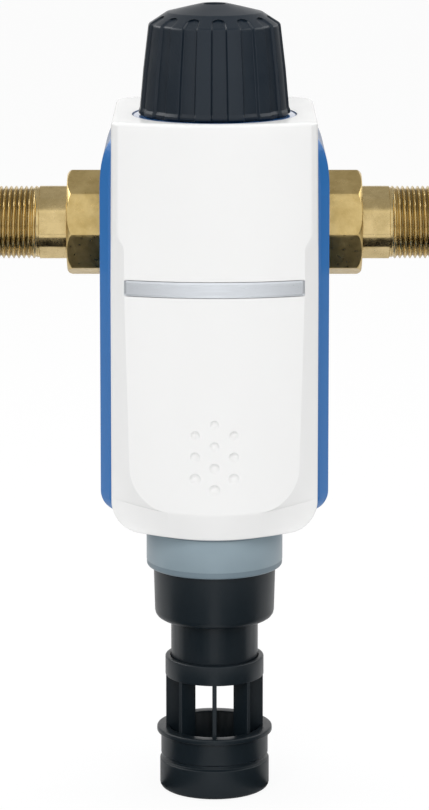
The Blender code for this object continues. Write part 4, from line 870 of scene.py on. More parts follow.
@dataclass
class FrontCover:
    """White cover over the front and top, with its strip seat and dimples."""

    wall: float = 0.0025
    top_half_width: float = 0.0456
    half_width: float = 0.04615
    bow_radius: float = 0.118
    corner: float = 0.011
    foot_bow_radius: float = 0.200
    foot_bow_low: float = 0.020
    foot_bow_high: float = 0.075
    back_corner: float = 0.012
    top_rounding: float = 0.0018
    foot_rounding: float = 0.0009
    face_top: float = 0.0400
    face_foot: float = 0.0374
    face_corner: float = 0.0165
    chamfer_height: float = 0.0128
    chamfer_foot_depth: float = 0.006
    chamfer_side_depth: float = 0.004
    fade_start: float = 0.0168
    fade_length: float = 0.0075
    soft_edge: float = 0.003
    soft_rounding: float = 1.05
    least_side: float = 0.3
    arc_start: float = 0.9
    edge_rounding: float = 0.0009
    strip_half_length: float = 0.0400
    strip_height: float = 0.0068
    strip_drop: float = 0.0736
    strip_seat: float = 0.0008
    strip_proud: float = 0.0002
    dimple_rows: int = 7
    dimple_pitch: float = 0.00495
    dimple_side: float = 0.0086
    dimple_drop: float = 0.1340
    dimple_top_radius: float = 0.0019
    dimple_foot_radius: float = 0.0025
    dimple_depth: float = 0.0031
    dimple_floor: float = 0.12
    dimple_margin: float = 1.4
    fine_columns: int = 34
    outer_columns: int = 13
    fine_rows: int = 110
    least_step: float = 0.00002
    strip_edge: float = 0.00003
    strip_bevel: float = 0.0009
    strip_steps: int = 40
    collar_radius: float = 0.0367
    low: Vector = field(init=False)
    high: Vector = field(init=False)

    def __post_init__(self) -> None:
        """Read the cover's box from the frame."""
        self.low, self.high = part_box("front_cover")

    @property
    def strip_middle(self) -> float:
        """Height of the trim strip's middle."""
        return self.high.z - self.strip_drop

    @property
    def face_low(self) -> float:
        """Height of the inner face's lower edge."""
        return self.low.z + self.chamfer_height

    def bow(self, across: float) -> float:
        """Depth of the bowed front at a distance from the middle."""
        return self.low.y + across * across / (2.0 * self.bow_radius)

    def lifted(self, across: float, height: float) -> float:
        """Height of a point once the bowed foot has lifted the sides."""
        fade = smooth_step(height, self.low.z + self.foot_bow_low, self.low.z + self.foot_bow_high)
        return height + across * across / (2.0 * self.foot_bow_radius) * (1.0 - fade)

    def side(self, height: float) -> float:
        """Work out the half width at a height.

        Args:
            height: Height of the cut.

        Returns:
            Distance from the middle to the side.
        """
        share = min(1.0, (self.high.z - height) / self.strip_drop)
        width = self.top_half_width + (self.half_width - self.top_half_width) * share
        return width - corner_pull(height, self.low.z, self.corner)

    def face(self, height: float) -> float:
        """Work out the half width of the inner face at a height.

        Args:
            height: Height of the cut.

        Returns:
            Distance from the middle to the chamfer.
        """
        share = min(1.0, max(0.0, (self.strip_middle - height) / (self.strip_middle - self.face_low)))
        width = self.face_top + (self.face_foot - self.face_top) * share
        return width - corner_pull(max(height, self.face_low), self.face_low, self.face_corner)

    def dimples(self) -> list[Triple]:
        """List the dimples, from the top row to the foot.

        Returns:
            Place across, height and radius of each dimple.
        """
        places = []
        for row in range(self.dimple_rows):
            share = row / (self.dimple_rows - 1)
            radius = self.dimple_top_radius + (self.dimple_foot_radius - self.dimple_top_radius) * share
            height = self.high.z - self.dimple_drop - row * self.dimple_pitch
            across = (0.0,) if row % 2 == 0 else (-self.dimple_side, self.dimple_side)
            places += [(middle, height, radius) for middle in across]
        return places

    def pressed(self, across: float, height: float) -> float:
        """Work out how deep the dimples and the strip's seat are at a point of the face.

        Args:
            across: Distance from the middle.
            height: Height of the point.

        Returns:
            Depth under the plain face.
        """
        for middle, level, radius in self.dimples():
            away = math.hypot(across - middle, height - level)
            if away < radius:
                rise = 0.5 + 0.5 * (height - level) / radius
                scoop = self.dimple_floor + (1.0 - self.dimple_floor) * rise
                return self.dimple_depth * (1.0 - (away / radius) ** 2) * scoop
        inside = abs(height - self.strip_middle) < self.strip_height / 2 + GAP
        return self.strip_seat + GAP if inside and abs(across) < self.strip_half_length else 0.0

    def columns(self) -> list[float]:
        """Places across the face as shares of its half width, close together over the dimples."""
        fine = (self.dimple_side + self.dimple_foot_radius * self.dimple_margin) / self.face_foot
        return spaced(0.0, fine, self.fine_columns) + spaced(fine, 1.0, self.outer_columns)[1:]

    def recess(self, height: float) -> float:
        """How far the front leans back at a height near the foot."""
        slope = self.chamfer_foot_depth / self.chamfer_height
        return slope * soft_ramp(self.face_low - height, self.edge_rounding)

    def front(self, height: float) -> list[Pair]:
        """Draw the right half of the front as seen from above.

        Args:
            height: Height of the cut.

        Returns:
            Points from the middle to the side.
        """
        fade = smooth_step(height, self.strip_middle + self.fade_start,
                           self.strip_middle + self.fade_start + self.fade_length)
        side = self.side(height)
        face = self.face(height) * (1.0 - fade) + (side - self.soft_edge) * fade
        recess = self.recess(height)
        sharp = self.bow(side) + self.chamfer_side_depth
        soft = self.bow(side - self.soft_edge) + self.soft_edge
        least = self.bow(face) + recess + self.least_side * self.soft_edge
        edge = max(sharp * (1.0 - fade) + soft * fade, least)
        rounding = self.edge_rounding * (1.0 - fade) + self.soft_rounding * self.soft_edge * fade
        inner = (face, self.bow(face) + recess)
        outer = (side, edge)
        before = self.arc_start * face
        arc = rounded_corner((before, self.bow(before) + recess), inner, outer, rounding, 5)
        far_arc = rounded_corner(inner, outer, (side, self.high.y), rounding, 5)
        points = []
        for share in self.columns()[:-1]:
            across = arc[0][0] * share
            points.append((across, self.bow(across) + recess + self.pressed(across, height)))
        (x0, y0), (x1, y1) = arc[-1], far_arc[0]
        between = list(zip(spaced(x0, x1, 7), spaced(y0, y1, 7)))[1:-1]
        return points + arc + between + far_arc

    def shaped(self, height: float, inset: float) -> list[Triple]:
        """Outline at one height.

        Args:
            height: Height of the cut.
            inset: How far inside the outer form.

        Returns:
            Points, front middle first, anticlockwise from above, the sides lifted near the foot.
        """
        front = self.front(height)
        ends = [(front[-1][0], self.high.y), (0.0, self.high.y)]
        half = inward(mirrored(front + ends), inset)[:len(front)]
        half[0] = (0.0, half[0][1])
        half += [(across, self.back(across, half[-1][0], inset)) for across, _ in reversed(half)]
        return [(x, y, self.lifted(x, height)) for x, y in mirrored(half)]

    def back(self, across: float, side: float, inset: float) -> float:
        """Work out where the back lies, with its round corners.

        Args:
            across: Distance from the middle.
            side: Half width of the outline.
            inset: How far inside the outer form.

        Returns:
            Place of the back along Y.
        """
        radius = self.back_corner - inset
        past = max(0.0, across - (side - radius))
        return self.high.y - inset - radius + math.sqrt(max(0.0, radius * radius - past * past))

    def heights(self) -> list[float]:
        """Choose the heights of the outlines between foot and top rounding.

        Returns:
            Heights in rising order, close together where the form changes.
        """
        foot = self.low.z + self.foot_rounding
        top = self.high.z - self.top_rounding
        levels = [level for _, level, _ in self.dimples()]
        reach = self.dimple_foot_radius * self.dimple_margin
        low, high = min(levels) - reach, max(levels) + reach
        fade = self.strip_middle + self.fade_start
        end_shaded = fade + self.fade_length
        rows = spaced(low, high, self.fine_rows) + spaced(high, fade, 12)
        rows += spaced(fade, end_shaded, 12) + spaced(end_shaded, top, 10)
        rows += crowded(foot, self.corner - self.foot_rounding, 4, 22)
        rows += crowded(self.face_low, self.face_corner, 5, 16)
        rows += spaced(self.face_low - self.edge_rounding, self.face_low + self.edge_rounding, 6)
        for sign in (-1, 1):
            edge = self.strip_middle + sign * (self.strip_height / 2 + GAP)
            rows += [edge - self.strip_edge, edge + self.strip_edge]
        rows = sorted(row for row in rows if foot < row <= top)
        return [row for row, before in zip(rows, [foot] + rows) if row - before > self.least_step]

    def hollow(self) -> list[list[Triple]]:
        """Draw the room inside the cover.

        Returns:
            Rings from foot to top.
        """
        low, high = self.low.z + self.wall, self.high.z - self.wall
        rows = [height for height in self.heights()[::6] if low + MERGE < height < high - MERGE]
        rings = []
        for height in [low] + rows + [high]:
            side = self.side(height) - self.wall
            face = min(self.face(height), side - self.soft_edge) - 0.5 * self.wall
            half = [(across, self.bow(across) + self.recess(height) + self.wall)
                    for across in spaced(0.0, face, 8)]
            half.append((side, self.bow(side) + self.chamfer_side_depth + self.wall))
            half += [(across, self.back(across, side, self.wall)) for across, _ in reversed(half)]
            rings.append([(x, y, self.lifted(x, height)) for x, y in mirrored(half)])
        return rings

    def rings(self) -> list[list[Triple]]:
        """Draw the outer form.

        Returns:
            Outlines from foot to top.
        """
        foot, top = self.low.z, self.high.z
        rings = []
        for degrees in (0, 30, 60):
            turn = math.radians(degrees)
            height = foot + self.foot_rounding * (1.0 - math.cos(turn))
            rings.append(self.shaped(height, self.foot_rounding * (1.0 - math.sin(turn))))
        for height in self.heights():
            if foot + self.foot_rounding + MERGE < height < top - self.top_rounding - MERGE:
                rings.append(self.shaped(height, 0.0))
        for step in range(7):
            turn = math.radians(15 * step)
            height = top - self.top_rounding * (1.0 - math.sin(turn))
            rings.append(self.shaped(height, self.top_rounding * (1.0 - math.cos(turn))))
        return rings

    def build(self) -> None:
        """Make the cover and the strip in its front."""
        cover = skinned("front_cover_shell", self.rings(), banded=True)
        collar_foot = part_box("top_collar")[0].z
        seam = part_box("rear_shell")[0].y - GAP
        boolean(cover, skinned("tool", self.hollow(), banded=True), "DIFFERENCE")
        boolean(cover, box_tool((-FAR, seam, -FAR), (FAR, FAR, collar_foot)), "DIFFERENCE")
        boolean(cover, rod_tool(self.collar_radius + GAP, collar_foot, FAR), "DIFFERENCE")
        ring_room = rod_tool(node_radius("bowl_ring") + 2 * GAP, self.low.z - GAP, self.low.z + self.corner)
        boolean(cover, ring_room, "DIFFERENCE")
        seated(dressed(cover, WHITE_COVER.material(), 30.0), Body.HOUSING, ["front_cover"])
        self.build_strip()

    def build_strip(self) -> None:
        """Make the bright strip with its bevelled edges."""
        half = self.strip_height / 2
        bevel = self.strip_bevel
        section = [(-half, self.strip_seat), (-half, 0.0), (-half + bevel, -self.strip_proud),
                   (half - bevel, -self.strip_proud), (half, 0.0), (half, self.strip_seat)]
        rings = []
        for index in range(2 * self.strip_steps + 1):
            across = self.strip_half_length * (index / self.strip_steps - 1.0)
            end = self.strip_half_length - abs(across)
            lift = 1.0 if end > bevel else end / bevel
            ring = []
            for height, depth in section:
                raised = depth * lift if depth < 0 else depth
                ring.append((across, self.bow(across) + raised, self.strip_middle + height))
            rings.append(ring)
        strip = dressed(skinned("trim_strip_bright", rings), TRIM_METAL.material(), 6.0)
        seated(strip, Body.HOUSING, ["trim_strip"])


# Rear shell and collar

@dataclass
class RearShell:
    """Blue shell behind the cover, with the collar in its top."""

    wall: float = 0.0025
    half_width: float = 0.0513
    front_bevel: float = 0.004
    bevel_rounding: float = 0.0008
    back_corner: float = 0.010
    shoulder_inset: float = 0.0055
    shoulder_height: float = 0.032
    shoulder_power: int = 4
    foot_corner: float = 0.0095
    lip: float = 0.009
    slot_radius: float = 0.0256
    neck_gap_shade: float = 0.0119
    collar_wall: float = 0.0032
    collar_mouth: float = 0.025
    collar_thickness: float = 0.002
    low: Vector = field(init=False)
    high: Vector = field(init=False)

    def __post_init__(self) -> None:
        """Read the shell's box from the frame."""
        self.low, self.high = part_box("rear_shell")

    def side(self, height: float) -> float:
        """Work out the half width at a height.

        Args:
            height: Height of the cut.

        Returns:
            Distance from the middle to the side.
        """
        rise = max(0.0, height - (self.high.z - self.shoulder_height)) / self.shoulder_height
        shoulder = self.shoulder_inset * rise ** self.shoulder_power
        return self.half_width - shoulder - corner_pull(height, self.low.z, self.foot_corner)

    def outline(self, height: float, inset: float) -> list[Pair]:
        """Draw the outline at one height as seen from above.

        Args:
            height: Height of the cut.
            inset: How far inside the outer form.

        Returns:
            Points of the outline.
        """
        side = self.side(height)
        front = self.low.y
        first = (side - self.front_bevel, front)
        second = (side, front + self.front_bevel)
        half = [(0.0, front), (0.5 * side, front)]
        rounding = self.bevel_rounding + inset
        half += rounded_corner((0.0, front), first, second, rounding, 4)
        half += rounded_corner(first, second, (side, self.high.y), rounding, 4)
        half += [(side, front + (self.high.y - front) * share) for share in (0.3, 0.5, 0.7)]
        for index in range(9):
            turn = math.radians(90.0 * index / 8)
            half.append((side - self.back_corner * (1.0 - math.cos(turn)),
                         self.high.y - self.back_corner * (1.0 - math.sin(turn))))
        half.append((0.0, self.high.y))
        return inward(mirrored(half), inset)

    def heights(self) -> list[float]:
        """Choose the heights of the outlines between foot and top.

        Returns:
            Heights in rising order.
        """
        corner = self.low.z + self.foot_corner
        middle = self.high.z - self.shoulder_height
        rows = crowded(self.low.z, self.foot_corner, 6, 15)[1:]
        rows += spaced(corner, middle, 8)[1:-1] + spaced(middle, self.high.z, 24)[:-1]
        return sorted(rows)

    def rings(self, inset: float) -> list[list[Triple]]:
        """Draw the shell's form.

        Args:
            inset: How far inside the outer form.

        Returns:
            Outlines from foot to top.
        """
        low, high = self.low.z + inset, self.high.z - inset
        rows = [height for height in self.heights() if low + MERGE < height < high - MERGE]
        return [[(x, y, height) for x, y in self.outline(height, inset)] for height in [low] + rows + [high]]

    def slot(self, side: Side) -> Piece:
        """Make the tool for the pipe slot that runs out of the back of one side wall.

        Args:
            side: Side of the wall.

        Returns:
            The tool.
        """
        inner = self.half_width - self.shoulder_inset - self.lip - GAP
        plan = [(2 * self.high.y, self.slot_radius), (2 * self.high.y, -self.slot_radius)]
        for step in range(33):
            turn = math.pi * (step / 32 - 0.5)
            plan.append((-self.slot_radius * math.cos(turn), self.slot_radius * math.sin(turn)))
        ends = (side.value * inner, side.value * (self.half_width + self.wall))
        return skinned("tool", [[(x, y, z) for y, z in plan] for x in ends])

    def build(self) -> None:
        """Make the shell and the collar ring."""
        shell = skinned("rear_shell_moulding", self.rings(0.0))
        mouth = self.half_width - self.shoulder_inset - self.lip
        middle = 0.5 * (self.low.y + self.high.y)
        foot = self.low.z + self.lip
        tools = [skinned("tool", self.rings(self.wall))]
        tools.append(box_tool((-mouth, -FAR, foot), (mouth, middle, self.high.z - self.wall)))
        tools.append(box_tool((-mouth, middle, foot), (mouth, FAR, self.high.z - self.lip)))
        tools += [self.slot(side) for side in Side]
        tools.append(rod_tool(node_radius("bowl_ring") + 2 * GAP, self.low.z - GAP, foot + GAP))
        tools.append(rod_tool(self.neck_gap_shade, self.high.z - 2 * self.wall, self.high.z + GAP))
        for tool in tools:
            boolean(shell, tool, "DIFFERENCE")
        seated(dressed(shell, BLUE_SHELL.material(), 30.0), Body.HOUSING, ["rear_shell"])
        self.build_collar()

    def build_collar(self) -> None:
        """Make the blue ring that shows round the knob's foot."""
        low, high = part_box("top_collar")
        radius = node_radius("top_collar")
        inner, mouth = radius - self.collar_wall, self.collar_mouth
        ceiling = high.z - self.collar_thickness
        corners = [(inner, low.z, 0.0), (radius, low.z, 0.0), (radius, high.z, 0.0009),
                   (mouth, high.z, 0.0003), (mouth, ceiling, 0.0003), (inner, ceiling, 0.0004)]
        seated(dressed(turned("top_collar_ring", corners), BLUE_COLLAR.material()), Body.HOUSING,
               ["top_collar"])


# Hand knob

@dataclass
class HandKnob:
    """Fluted knob and its cap screw."""

    base_radius: float = 0.0334
    lip: float = 0.0006
    lip_height: float = 0.003
    bulge: float = 0.0004
    edge: float = 0.001
    shoulder_radius: float = 0.0295
    shoulder_height: float = 0.0407
    dome_radius: float = 0.0215
    dome_height: float = 0.0457
    wall: float = 0.003
    flutes: int = 14
    flute_share: float = 0.56
    flute_depth: float = 0.0013
    flute_turn: float = math.radians(-86.0)
    flute_end_radius: float = 0.0238
    groove: tuple[Pair, ...] = ((-1.0, 0.0), (-0.94, 0.10), (-0.82, 0.84), (-0.75, 0.98), (-0.4, 1.0),
                                (0.0, 1.0), (0.4, 1.0), (0.75, 0.98), (0.82, 0.84), (0.94, 0.10))
    land_steps: int = 6
    hub_radius: float = 0.009
    hub_length: float = 0.035
    bore_radius: float = 0.0053
    recess_radius: float = 0.005
    recess_depth: float = 0.0045
    screw_share: float = 0.53
    foot_flute_share: float = 0.6
    least_flute: float = 0.04
    point_distance: float = 0.0007
    socket_radius: float = 0.00262
    socket_depth: float = 0.0025
    socket_flat: float = 0.866
    foot: float = field(init=False)
    top: float = field(init=False)

    def __post_init__(self) -> None:
        """Read the knob's box from the frame."""
        low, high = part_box("knob")
        self.foot, self.top = low.z, high.z

    def flute_ring(self, radius: float, height: float, depth: float, narrow: float) -> list[Triple]:
        """One ring of the fluted outside.

        Args:
            radius: Radius of the lands.
            height: Height of the ring.
            depth: Depth of the flutes there.
            narrow: Share of the flutes' full width there.

        Returns:
            The ring's points.
        """
        ring = []
        half = 0.5 * self.flute_share * max(narrow, self.least_flute)
        for index in range(self.flutes):
            for across, share in self.groove:
                angle = self.flute_turn + math.tau * (index + half * across) / self.flutes
                ring.append(on_axis(Axis.UPRIGHT, radius - depth * share, angle, height))
            for step in range(self.land_steps):
                place = half + (1.0 - 2.0 * half) * step / self.land_steps
                angle = self.flute_turn + math.tau * (index + place) / self.flutes
                ring.append(on_axis(Axis.UPRIGHT, radius, angle, height))
        return ring

    def outside(self) -> list[Triple]:
        """List the corners of the outside's profile.

        Returns:
            Radius, height and rounding of each corner, from foot to top.
        """
        shoulder = self.foot + self.shoulder_height
        rim = self.foot + self.dome_height
        middle = 0.5 * (self.base_radius + self.shoulder_radius) + self.bulge
        return [(self.base_radius, self.foot, 0.0), (self.base_radius + self.lip, self.foot + 0.0006, 0.0003),
                (self.base_radius + self.lip, self.foot + 0.0016, 0.0005),
                (self.base_radius, self.foot + self.lip_height, 0.001),
                (middle, self.foot + 0.5 * self.shoulder_height, 0.02),
                (self.shoulder_radius, shoulder - 0.0002, 0.0018),
                (self.dome_radius, rim, 0.002),
                (self.dome_radius * 0.55, 0.35 * rim + 0.65 * self.top, 0.02),
                (self.recess_radius + 0.0012, self.top, 0.0006), (self.recess_radius, self.top - 0.0002, 0.0)]

    def build(self) -> None:
        """Make the knob and its screw."""
        shoulder = self.foot + self.shoulder_height
        half_width = math.pi * self.flute_end_radius * self.flute_share / self.flutes
        rings = []
        for radius, height in self.dense(eased(self.outside(), closed=False, steps=5)):
            if height < shoulder - 2 * self.edge:
                share = self.foot_flute_share if height < self.foot + 0.0001 else 1.0
                rings.append(self.flute_ring(radius, height, self.flute_depth * share, 1.0))
                continue
            away = max(0.0, radius - self.flute_end_radius)
            narrow = max(0.0, 1.0 - (1.0 - min(1.0, away / half_width)) ** 3) ** 0.33
            depth = self.flute_depth * min(1.0, 1.2 * narrow)
            rings.append(self.flute_ring(radius, height, depth, max(narrow, self.least_flute)))
        count = self.flutes * (len(self.groove) + self.land_steps)
        angles = [self.flute_turn + math.tau * (index - 4.5) / count for index in range(count)]
        rings += [[on_axis(Axis.UPRIGHT, radius, angle, height) for angle in angles]
                  for radius, height in self.inside()]
        knob = dressed(skinned("knob_moulding", rings, looped=True), KNOB_PLASTIC.material(), 24.0)
        seated(knob, Body.KNOB, ["knob"])
        self.build_screw()

    def inside(self) -> list[Pair]:
        """List the corners of the hollow's profile, with the hub for the spindle.

        Returns:
            Radius and height of each corner, from the recess to the foot.
        """
        floor = self.top - self.recess_depth
        screw_way = self.bore_radius * self.screw_share
        shoulder = self.foot + self.shoulder_height
        roof = self.foot + self.dome_height - self.wall
        hub_foot = roof - self.hub_length
        shrink = self.flute_depth + self.wall
        return [(self.recess_radius, floor), (screw_way, floor), (screw_way, shoulder),
                (self.bore_radius, shoulder), (self.bore_radius, hub_foot), (self.hub_radius, hub_foot),
                (self.hub_radius, roof), (self.dome_radius - self.wall, roof),
                (self.shoulder_radius - shrink, shoulder - self.wall), (self.base_radius - shrink, self.foot)]

    def dense(self, profile: list[Pair]) -> list[Pair]:
        """Add points to a profile where they lie too far apart.

        Args:
            profile: Radius and height of each point.

        Returns:
            The denser profile.
        """
        points = [profile[0]]
        for (r0, z0), (r1, z1) in zip(profile, profile[1:]):
            count = max(1, math.ceil(math.hypot(r1 - r0, z1 - z0) / self.point_distance))
            points += list(zip(spaced(r0, r1, count), spaced(z0, z1, count)))[1:]
        return points

    def build_screw(self) -> None:
        """Make the cap screw with its hexagon socket."""
        low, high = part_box("knob_screw")
        head = node_radius("knob_screw")
        seat = self.top - self.recess_depth + GAP
        corners = [(0.0, low.z, 0.0), (0.0025, low.z, 0.0004), (0.0025, seat, 0.0), (head, seat, 0.0),
                   (head, high.z, 0.0005), (0.0026, high.z, 0.0002), (0.0024, high.z - 0.002, 0.0),
                   (0.0, high.z - 0.0024, 0.0)]

        def socket(radius: float, angle: float, station: float) -> float:
            """Give the socket's corners six sides.

            Args:
                radius: Radius of the round profile.
                angle: Angle round the axis.
                station: Height of the point.

            Returns:
                The radius to use.
            """
            if not 0.0001 <= radius <= self.socket_radius or station < high.z - self.socket_depth:
                return radius
            local = (angle % (math.tau / 6)) - math.tau / 12
            return radius * self.socket_flat / math.cos(local)

        screw = turned("knob_cap_screw", corners, solid=True, sides=96, shape=socket)
        seated(dressed(screw, STEEL.material()), Body.KNOB, ["knob_screw"])


# Pipe unions

@dataclass
class PipeUnion:
    """Union nut and threaded nipple on one side."""

    side: Side
    nut_corner_radius: float = 0.02465
    nut_sides: int = 8
    nut_turn: float = math.radians(-5.0)
    nut_chamfer: float = 0.003
    nut_rounding: float = 0.0004
    nut_inner_chamfer: float = 0.0016
    nut_bore: float = 0.0212
    nut_web: float = 0.0038
    nut_curves: Pair = (0.75, 1.25)
    nut_lip: float = 0.0009
    bore_radius: float = 0.0125
    body_radius: float = 0.01662
    flats: int = 6
    flat_distance: float = 0.0157
    flats_turn: float = math.radians(5.7)
    flats_length: float = 0.012
    neck_length: float = 0.0047
    collar_length: float = 0.0063
    collar_radius: float = 0.0204
    pitch: float = 0.002309
    thread_depth: float = 0.00135
    thread_flat: float = 0.12
    thread_round: float = 0.35
    thread_steps: int = 16
    relief: float = 0.0011
    relief_depth: float = 0.0006
    lead_turns: float = 2.2
    end_chamfer: float = 0.0017
    end_slope: float = 1.15

    def reach_of(self, node: str) -> Pair:
        """Measure how far one of this side's nodes reaches along the pipe.

        Args:
            node: Name of the node without its side.

        Returns:
            Distances of its inner and outer end from the middle.
        """
        low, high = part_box(f"{node}_{self.side.word}")
        inner, outer = sorted((abs(low.x), abs(high.x)))
        return inner, outer

    def ring(self, radius: float, station: float, angles: Sequence[float]) -> list[Triple]:
        """Points of a round ring about the pipe, at a distance from the filter's middle."""
        return [on_axis(Axis.PIPE, radius, angle, self.side.value * station) for angle in angles]

    def build(self) -> None:
        """Make the nut and the nipple."""
        self.build_nut()
        self.build_nipple()

    def build_nut(self) -> None:
        """Make the eight sided nut with turned ends."""
        inner, outer = self.reach_of("union_nut")
        corner = self.nut_corner_radius
        apothem = corner * math.cos(math.pi / self.nut_sides)
        sector = math.tau / self.nut_sides
        throat = self.body_radius + 2 * GAP
        shoulder = outer - self.nut_web
        rise = corner - apothem
        near, far = self.nut_curves
        rows = [(inner + self.nut_inner_chamfer * step / 12, corner - rise * near * (1.0 - step / 12) ** 2)
                for step in range(13)]
        rows += [(outer - self.nut_chamfer * (1.0 - step / 16), corner - rise * far * (step / 16) ** 2)
                 for step in range(17)]

        def reach(angle: float, limit: float) -> float:
            """Radius inside the nut's flats and what the turning leaves."""
            local = (angle - self.nut_turn) % sector - sector / 2
            return min(apothem / math.cos(local), limit, corner - self.nut_rounding * 0.4)

        count = self.nut_sides * 24
        angles = [self.nut_turn + math.tau * index / count for index in range(count)]
        rings = [[on_axis(Axis.PIPE, reach(angle, limit), angle, self.side.value * station)
                  for angle in angles] for station, limit in rows]
        lip = throat + self.nut_lip
        rings += [self.ring(radius, station, angles) for radius, station in (
            (lip + 0.0012, outer), (lip, outer - 0.0005), (throat, outer - 0.0012), (throat, shoulder),
            (self.nut_bore, shoulder), (self.nut_bore, inner))]
        nut = skinned(f"nut_casting_{self.side.word}", rings, looped=True)
        body = Body.NUT_LEFT if self.side is Side.LEFT else Body.NUT_RIGHT
        seated(dressed(nut, ROUGH_BRASS.material(), 22.0), body, [f"union_nut_{self.side.word}"])

    def thread_radius(self, place: float, depth: float) -> float:
        """Radius of the thread at a place along it.

        Args:
            place: Distance along the pipe, already shifted for the helix.
            depth: Share of the full depth that the thread has there.

        Returns:
            The radius from the rounded thread form.
        """
        share = place / self.pitch % 1.0
        form = abs(2.0 * share - 1.0)
        form = min(1.0, max(0.0, (form - self.thread_flat) / (1.0 - 2.0 * self.thread_flat)))
        form = form * form * (3.0 - 2.0 * form) * self.thread_round + form * (1.0 - self.thread_round)
        return self.body_radius - self.thread_depth * depth * form

    def thread_rings(self, start: float, end: float, angles: Sequence[float]) -> list[list[Triple]]:
        """Draw the thread with its run-out and its chamfered end.

        Args:
            start: Distance of the thread's start from the middle.
            end: Distance of the pipe's end from the middle.
            angles: Angle of each point.

        Returns:
            Rings from the start to the end.
        """
        steps = int((end - start) / self.pitch * self.thread_steps)
        rings = []
        for station in spaced(start, end, steps)[2:]:
            past = station - start
            depth = min(1.0, past / (self.lead_turns * self.pitch)) ** 0.5
            chamfer = self.body_radius - self.end_chamfer + (end - station) * self.end_slope
            ring = []
            for angle in angles:
                radius = self.thread_radius(station + self.pitch * angle / math.tau, depth)
                if past < self.relief:
                    radius = min(radius, self.body_radius - self.relief_depth)
                ring.append(on_axis(Axis.PIPE, min(radius, chamfer), angle, self.side.value * station))
            rings.append(ring)
        return rings

    def build_nipple(self) -> None:
        """Make the nipple with its wrench flats and pipe thread."""
        start, end = self.reach_of("pipe_nipple")
        neck = start + self.collar_length
        flats = neck + self.neck_length
        thread = flats + self.flats_length
        sector = math.tau / self.flats
        angles = [math.tau * index / ROUND_SIDES for index in range(ROUND_SIDES)]
        rings = [self.ring(radius, station, angles) for radius, station in (
            (self.collar_radius, start), (self.collar_radius, neck), (self.body_radius, neck),
            (self.body_radius, flats - 0.0001))]
        for station in spaced(flats, thread, 8):
            ring = []
            for angle in angles:
                local = (angle - self.flats_turn + sector / 2) % sector - sector / 2
                radius = min(self.body_radius, self.flat_distance / math.cos(local))
                ring.append(on_axis(Axis.PIPE, radius, angle, self.side.value * station))
            rings.append(ring)
        rings.append(self.ring(self.body_radius, thread + 0.0001, angles))
        rings += self.thread_rings(thread, end, angles)
        rings += [self.ring(radius, station, angles) for radius, station in (
            (self.bore_radius + 0.0004, end), (self.bore_radius, end - 0.0004), (self.bore_radius, start))]
        nipple = skinned(f"nipple_threaded_{self.side.word}", rings, looped=True)
        seated(dressed(nipple, THREAD_BRASS.material(), 28.0), Body.HOUSING,
               [f"pipe_nipple_{self.side.word}"])


# Head, bowl and clamp ring behind the shell

